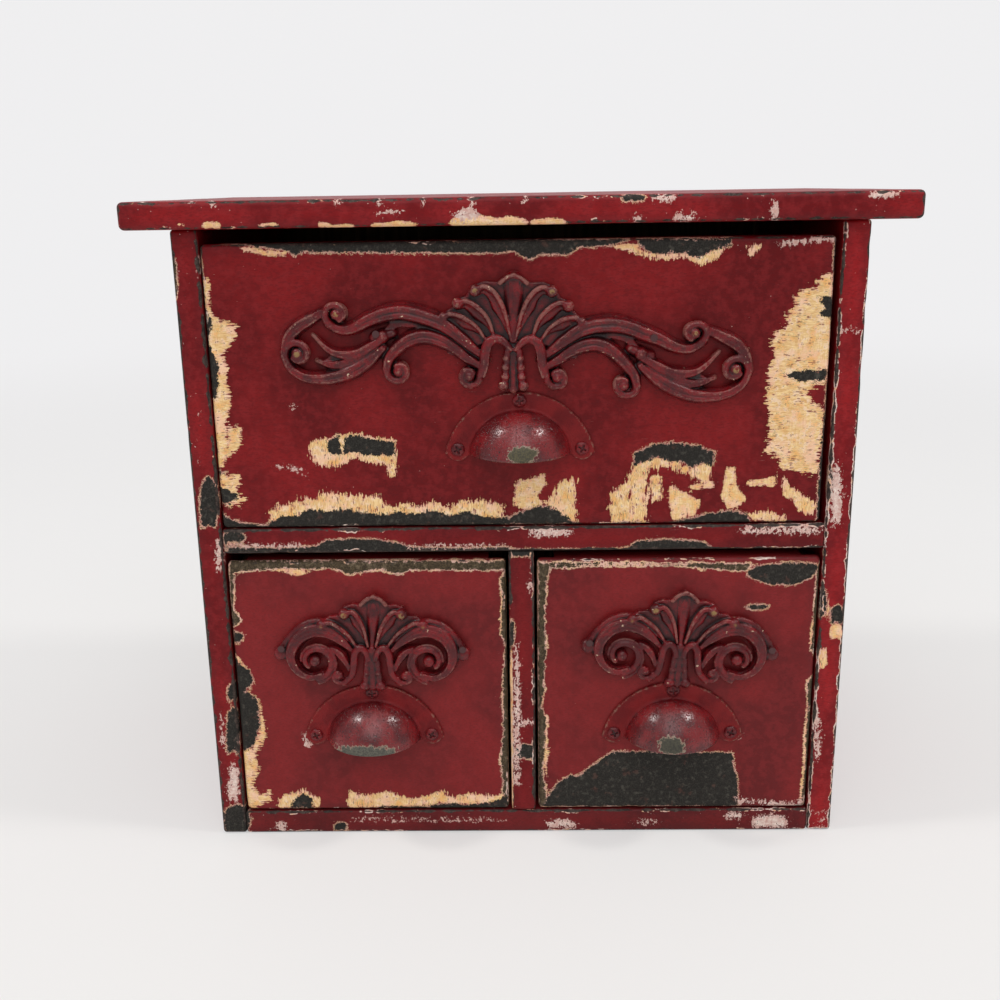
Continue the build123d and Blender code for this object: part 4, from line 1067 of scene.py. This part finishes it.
def ornament(shape, middle, low, high, cell, bends, tilt, lean):
    """Both halves of an ornament, and then what runs down its middle."""
    casting = Casting(low, high, cell)
    for side, bend in zip((-1, 1), bends):
        half = Half(casting, warp_for(side, bend, tilt, lean))
        shape(half)
    middle(half)
    return casting


GROOVE_SHADE_LEVEL, RUB_AND_HIGHLIGHT = 0.08, 0.30          # how far out the painted shade of a groove, and the rub and painted highlight of a ridge, begin


def cast_paint(name, shift, knobs=1.0, knob_top=5.1):
    """Thick dark paint: ridges pale with rubs and painted highlight, grooves black with painted
    shade.
    """
    t = Tree(name)
    ridge, height, _ = t.parts("cast")
    lumps = t.noise(1.3, shift=shift, detail=5, roughness=0.65)
    fine = t.noise(0.4, shift=shift)
    tone = t.noise(6, shift=shift)
    body = t.mix(t.step(tone, 0.38, 0.62), (0.085, 0.0030, 0.0055), (0.185, 0.0062, 0.0095))
    body = t.tinge(body, lumps, 0.44, 0.64, 0.6, (0.046, 0.009, 0.010))
    # nearly black in the grooves: painted shade
    body = t.tinge(body, ridge, GROOVE_SHADE_LEVEL, GROOVE_SHADE_LEVEL - 0.30, 0.92, (0.012, 0.0045, 0.0050))
    # pale on the ridges: partly rubbed paint, partly a painted highlight
    worn = t.add(ridge, t.sway(lumps, 0.55))
    worn = t.add(worn, t.sway(fine, 0.25))
    body = t.tinge(body, worn, RUB_AND_HIGHLIGHT, RUB_AND_HIGHLIGHT + 0.14, 0.50, (0.34, 0.145, 0.115))
    gold = t.mul(t.step(height, knob_top, knob_top + 0.25), t.step(lumps, 0.36, 0.52))
    body = t.mix(t.mul(gold, 0.8 * knobs), body, (0.30, 0.185, 0.065))
    chip = t.step(t.add(t.noise(1.9, shift=(shift[0] + 9, 0, 0)), t.mul(ridge, 0.10)), 0.73, 0.745)
    body = t.mix(t.mul(chip, 0.85), body, (0.70, 0.52, 0.36))
    rough = t.step(lumps, 0.3, 0.7, (0.24, 0.40))
    normal = t.bump(t.add(t.mul(lumps, 0.8), t.mul(fine, 0.3)), 0.00022, 0.8)
    return t.finish(body, rough, normal, Specular_IOR_Level=0.36)


UPPER_CAST = (upper_half, upper_middle, (-82, -7.0, -0.8), (82, 42.0, 6.6), CELL)
LOWER_CAST = (lower_half, lower_middle, (-38, -1.4, -0.8), (38, 39.5, 6.0), 0.28)
STRAIGHT = [(0, 0, 0), (80, 0, 0)]
UPPER_BENDS = (
    [(0, 0, 0), (15, 0.1, 0.4), (38, -0.8, 1.6), (44, -0.4, 1.6), (58, -0.6, 2.1),
     (72, -0.1, 2.8), (80, 0, 3)],
    [(0, 0, 0), (15, 0, -0.2), (28, -1.4, -1.6), (38, -2.4, -3.4), (44, -1.4, -4.8),
     (58, 0.6, -4.9), (72, 1.8, -3.3), (80, 2.0, -3)])
for drawer, foot, shape, bends, tilt, lean, knob_top in [
        ("upper", (-2.3, 167.3), UPPER_CAST, UPPER_BENDS, 0.4, 0.012, 5.1),
        ("lower_left", (-54.2, 58.8), LOWER_CAST, (STRAIGHT, STRAIGHT), 0.8, 0.06, 4.72),
        ("lower_right", (54.8, 59.2), LOWER_CAST, (STRAIGHT, STRAIGHT), 3.0, 0.02, 4.72)]:
    piece = ornament(*shape, bends, tilt, lean).mesh("cast_%s_ornament" % drawer, foot)
    paint = cast_paint("cast_paint_" + drawer, (len(drawer) * 3.0, 2.0, 1.0), 1.0, knob_top)
    dress(piece, drawer + "_drawer", drawer + "_ornament", paint)


# ---------------------------------------------------------------- cup pulls and their screws
CUP_HALF, CUP_OUT, CUP_RISE, LIP_DROP, CUP_WALL = 17.4, 15.0, 15.5, 1.6, 1.0
EAR_SPREAD, EAR_RADIUS, TOP_SCREW, FLANGE_RISE, FLANGE = 21.1, 4.0, 16.6, 19.5, 1.2
SCREW_RADIUS, SCREW_HEAD, SCREW_END, SHANK = 2.4, 1.3, -6.8, 1.2
CUP_RADIUS = (CUP_HALF**2 + CUP_OUT**2) / (2 * CUP_OUT)
CUP_AXIS = CUP_OUT - CUP_RADIUS  # how far the dome's axis lies off the front
SCREWS = ((-EAR_SPREAD, 0, 20), (EAR_SPREAD, 0, 65), (0, TOP_SCREW, 5))


def dome(x, z, h, wall):
    """Distance, near the surface, to the dome of the cup less a wall."""
    wide, tall = CUP_RADIUS - wall, CUP_RISE - wall
    u, v, w = x / wide, (z + LIP_DROP) / tall, (h - CUP_AXIS) / wide
    reach = np.sqrt(u * u + v * v + w * w)
    slope = np.sqrt((u / wide) ** 2 + (v / tall) ** 2 + (w / wide) ** 2)
    return reach * (reach - 1) / np.maximum(slope, 1e-6)


def slab(outline, h, top, rounding):
    """A plate up to the height top, with a rounded upper edge."""
    a, b = outline + rounding, h - top + rounding
    return box_distance(a, b) - rounding


def pull_shape():
    casting = Casting((-26.4, -6.0, -0.8), (26.4, 21.0, 16.4), 0.3)
    x, z, h = np.meshgrid(*casting.lines, indexing="ij", sparse=True)
    arch_half = EAR_SPREAD + EAR_RADIUS
    arch = (arch_half**2 + FLANGE_RISE**2) / (2 * FLANGE_RISE)
    outline = np.maximum(np.hypot(x, z - FLANGE_RISE + arch) - arch, -LIP_DROP - z)
    outline = np.minimum(outline, np.hypot(np.abs(x) - EAR_SPREAD, z) - EAR_RADIUS)
    body = np.maximum(dome(x, z, h, 0), -LIP_DROP - z)
    body = smooth_min(slab(outline, h, FLANGE, 0.4), body, 1.0)
    ring = np.hypot(x, h - CUP_AXIS) - CUP_RADIUS + 0.72
    body = smooth_min(body, np.hypot(ring, z + LIP_DROP - 0.5) - 0.72, 0.5)
    casting.field = np.maximum(body, -dome(x, z, h, CUP_WALL)).astype(np.float32)
    return casting


def screw_shape():
    casting = Casting((-24.2, -3.2, SCREW_END - 0.4), (24.2, 20.0, FLANGE + SCREW_HEAD + 0.6), 0.22)
    x, z, h = np.meshgrid(*casting.lines, indexing="ij", sparse=True)
    for place_x, place_z, turn in SCREWS:
        side, rise = x - place_x, z - place_z
        aside = np.hypot(side, rise)
        head = np.hypot(aside / SCREW_RADIUS, np.maximum(h - FLANGE, 0) / SCREW_HEAD) - 1
        head = np.maximum(head * SCREW_HEAD, FLANGE - 0.2 - h)
        body = np.minimum(head, np.maximum(aside - SHANK, h - FLANGE))
        a = math.radians(turn)
        u, v = side * math.cos(a) + rise * math.sin(a), rise * math.cos(a) - side * math.sin(a)
        cross = np.minimum(np.maximum(np.abs(u) - 0.32, np.abs(v) - 1.4),
                           np.maximum(np.abs(v) - 0.32, np.abs(u) - 1.4))
        cross = np.maximum(cross, FLANGE + SCREW_HEAD - 0.9 - h)
        casting.field = np.minimum(casting.field, np.maximum(body, -cross)).astype(np.float32)
    return casting


def pull_paint(name, shift, patch, patch_color):
    """Glossy wine paint with dark pits; patch is (x, z, half width, half height) rubbed bare."""
    t = Tree(name)
    ridge, spot = t.parts("cast")[0], t.parts("spot")
    lumps = t.noise(1.5, shift=shift, detail=5, roughness=0.65)
    pits = t.noise(0.55, shift=shift, detail=3)
    tone = t.noise(7, shift=shift)
    body = t.mix(t.step(tone, 0.38, 0.62), (0.090, 0.0040, 0.0060), (0.185, 0.0085, 0.0110))
    body = t.tinge(body, lumps, 0.58, 0.70, 0.5, (0.14, 0.030, 0.024))
    body = t.tinge(body, pits, 0.56, 0.66, 0.8, (0.020, 0.0040, 0.0045))
    flat = t.step(spot[2], 2.2, 1.3)
    plain_red = t.mix(t.step(tone, 0.38, 0.62), (0.150, 0.0040, 0.0060), (0.215, 0.0085, 0.0100))
    body = t.mix(t.mul(flat, 0.85), body, plain_red)
    worn = t.add(ridge, t.sway(lumps, 0.7))
    body = t.tinge(body, worn, 0.42, 0.54, 0.6, (0.27, 0.15, 0.11))
    # darker in the creases of the pull: painted shade
    body = t.tinge(body, ridge, 0.02, -0.30, 0.7, (0.030, 0.0050, 0.0060))
    u, v = (t.mul(t.off(spot[k], patch[k]), 1 / patch[k + 2]) for k in (0, 1))
    reach = t.math("SQRT", t.add(t.mul(u, u), t.mul(v, v)))
    reach = t.add(reach, t.sway(lumps, 1.5))
    reach = t.add(reach, t.step(spot[2], 6.0, 3.0, (0.0, 3.0)))
    body = t.mix(t.step(reach, 1.12, 0.98), body, (0.30, 0.21, 0.15))
    bare = t.step(reach, 1.0, 0.86)
    dull = tuple(0.45 * c for c in patch_color)
    body = t.mix(bare, body, t.mix(t.step(pits, 0.4, 0.6), patch_color, dull))
    rough = t.lerp(t.most(bare, flat), t.step(lumps, 0.3, 0.7, (0.17, 0.27)), 0.48)
    normal = t.bump(t.add(t.mul(lumps, 0.5), t.mul(t.step(pits, 0.5, 0.68), -0.5)), 0.00020, 0.7)
    return t.finish(body, rough, normal, Specular_IOR_Level=t.lerp(flat, 0.6, 0.22))


# each pull: where its origin stands, its bare patch and the colour of that
cup, screw_set = pull_shape(), screw_shape()
for drawer, place, patch, patch_color in [
        ("upper", (-0.35, 147.3), (0.6, 0.8, 4.8, 2.9), (0.085, 0.070, 0.028)),
        ("lower_left", (-54.775, 41.0), (-1.5, -0.9, 10.0, 3.0), (0.100, 0.095, 0.070)),
        ("lower_right", (53.775, 41.0), (-2.0, 1.4, 4.4, 3.2), (0.050, 0.045, 0.024))]:
    body, node = drawer + "_drawer", drawer + "_pull"
    dress(cup.mesh("cast_" + node, place), body, node,
          pull_paint("pull_paint_" + drawer, (place[0], 3.0, 5.0), patch, patch_color))
    dress(screw_set.mesh("cast_%s_screws" % node, place, SCREW_END), body, node + "_screws",
          cast_paint("screw_paint_" + drawer, (place[0], 7.0, 2.0), 0.3))


# ---------------------------------------------------------------- bare wood and iron
def plain(name, color, roughness=0.5, **more):
    t = Tree(name)
    grain = t.noise(1.5)
    return t.finish(t.mix(grain, tuple(0.8 * c for c in color), tuple(1.15 * c for c in color)),
                    roughness, **more)


def wood(name, lengthwise, color):
    """Bare old pine, its grain along one axis."""
    t = Tree(name)
    stretch = tuple(0.05 if axis == lengthwise else 1.0 for axis in range(3))
    rings = t.noise(2.6, stretch, 4, 0.6, (3, 5, 7), 0.4)
    pores = t.noise(0.5, stretch, 3, 0.6, (9, 1, 4))
    body = t.mix(t.step(rings, 0.36, 0.64), color, tuple(0.62 * c for c in color))
    body = t.mix(t.step(pores, 0.52, 0.74, (0.0, 0.5)), body, tuple(0.38 * c for c in color))
    stain = t.noise(34, detail=4)
    body = t.tinge(body, stain, 0.45, 0.72, 0.45, (0.10, 0.055, 0.030))
    normal = t.bump(t.add(rings, pores), 0.00012, 0.7)
    return t.finish(body, 0.68, normal, Specular_IOR_Level=0.25)


PINE, DARK_PINE = (0.46, 0.285, 0.140), (0.20, 0.115, 0.060)
iron = plain("dark_iron", (0.055, 0.038, 0.034), 0.45, Metallic=0.5)
pin_red = plain("pin_red", (0.060, 0.012, 0.013), 0.35)
woods = {"side": wood("pine_sides", 1, PINE), "across": wood("pine_across", 0, PINE),
         "panel": wood("old_panel", 2, DARK_PINE)}
for name, node in nodes.items():
    if node.hide_render:
        continue
    if "pins" in name:
        coat(node, pin_red)
    elif "nails" in name or "screws" in name:
        coat(node, iron)
    elif name == "back_panel":
        coat(node, woods["panel"])
    else:
        coat(node, woods["side" if name.endswith("_side") else "across"])

[[list(map(float, corner)) for corner in box] for box in (cad_box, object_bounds())]
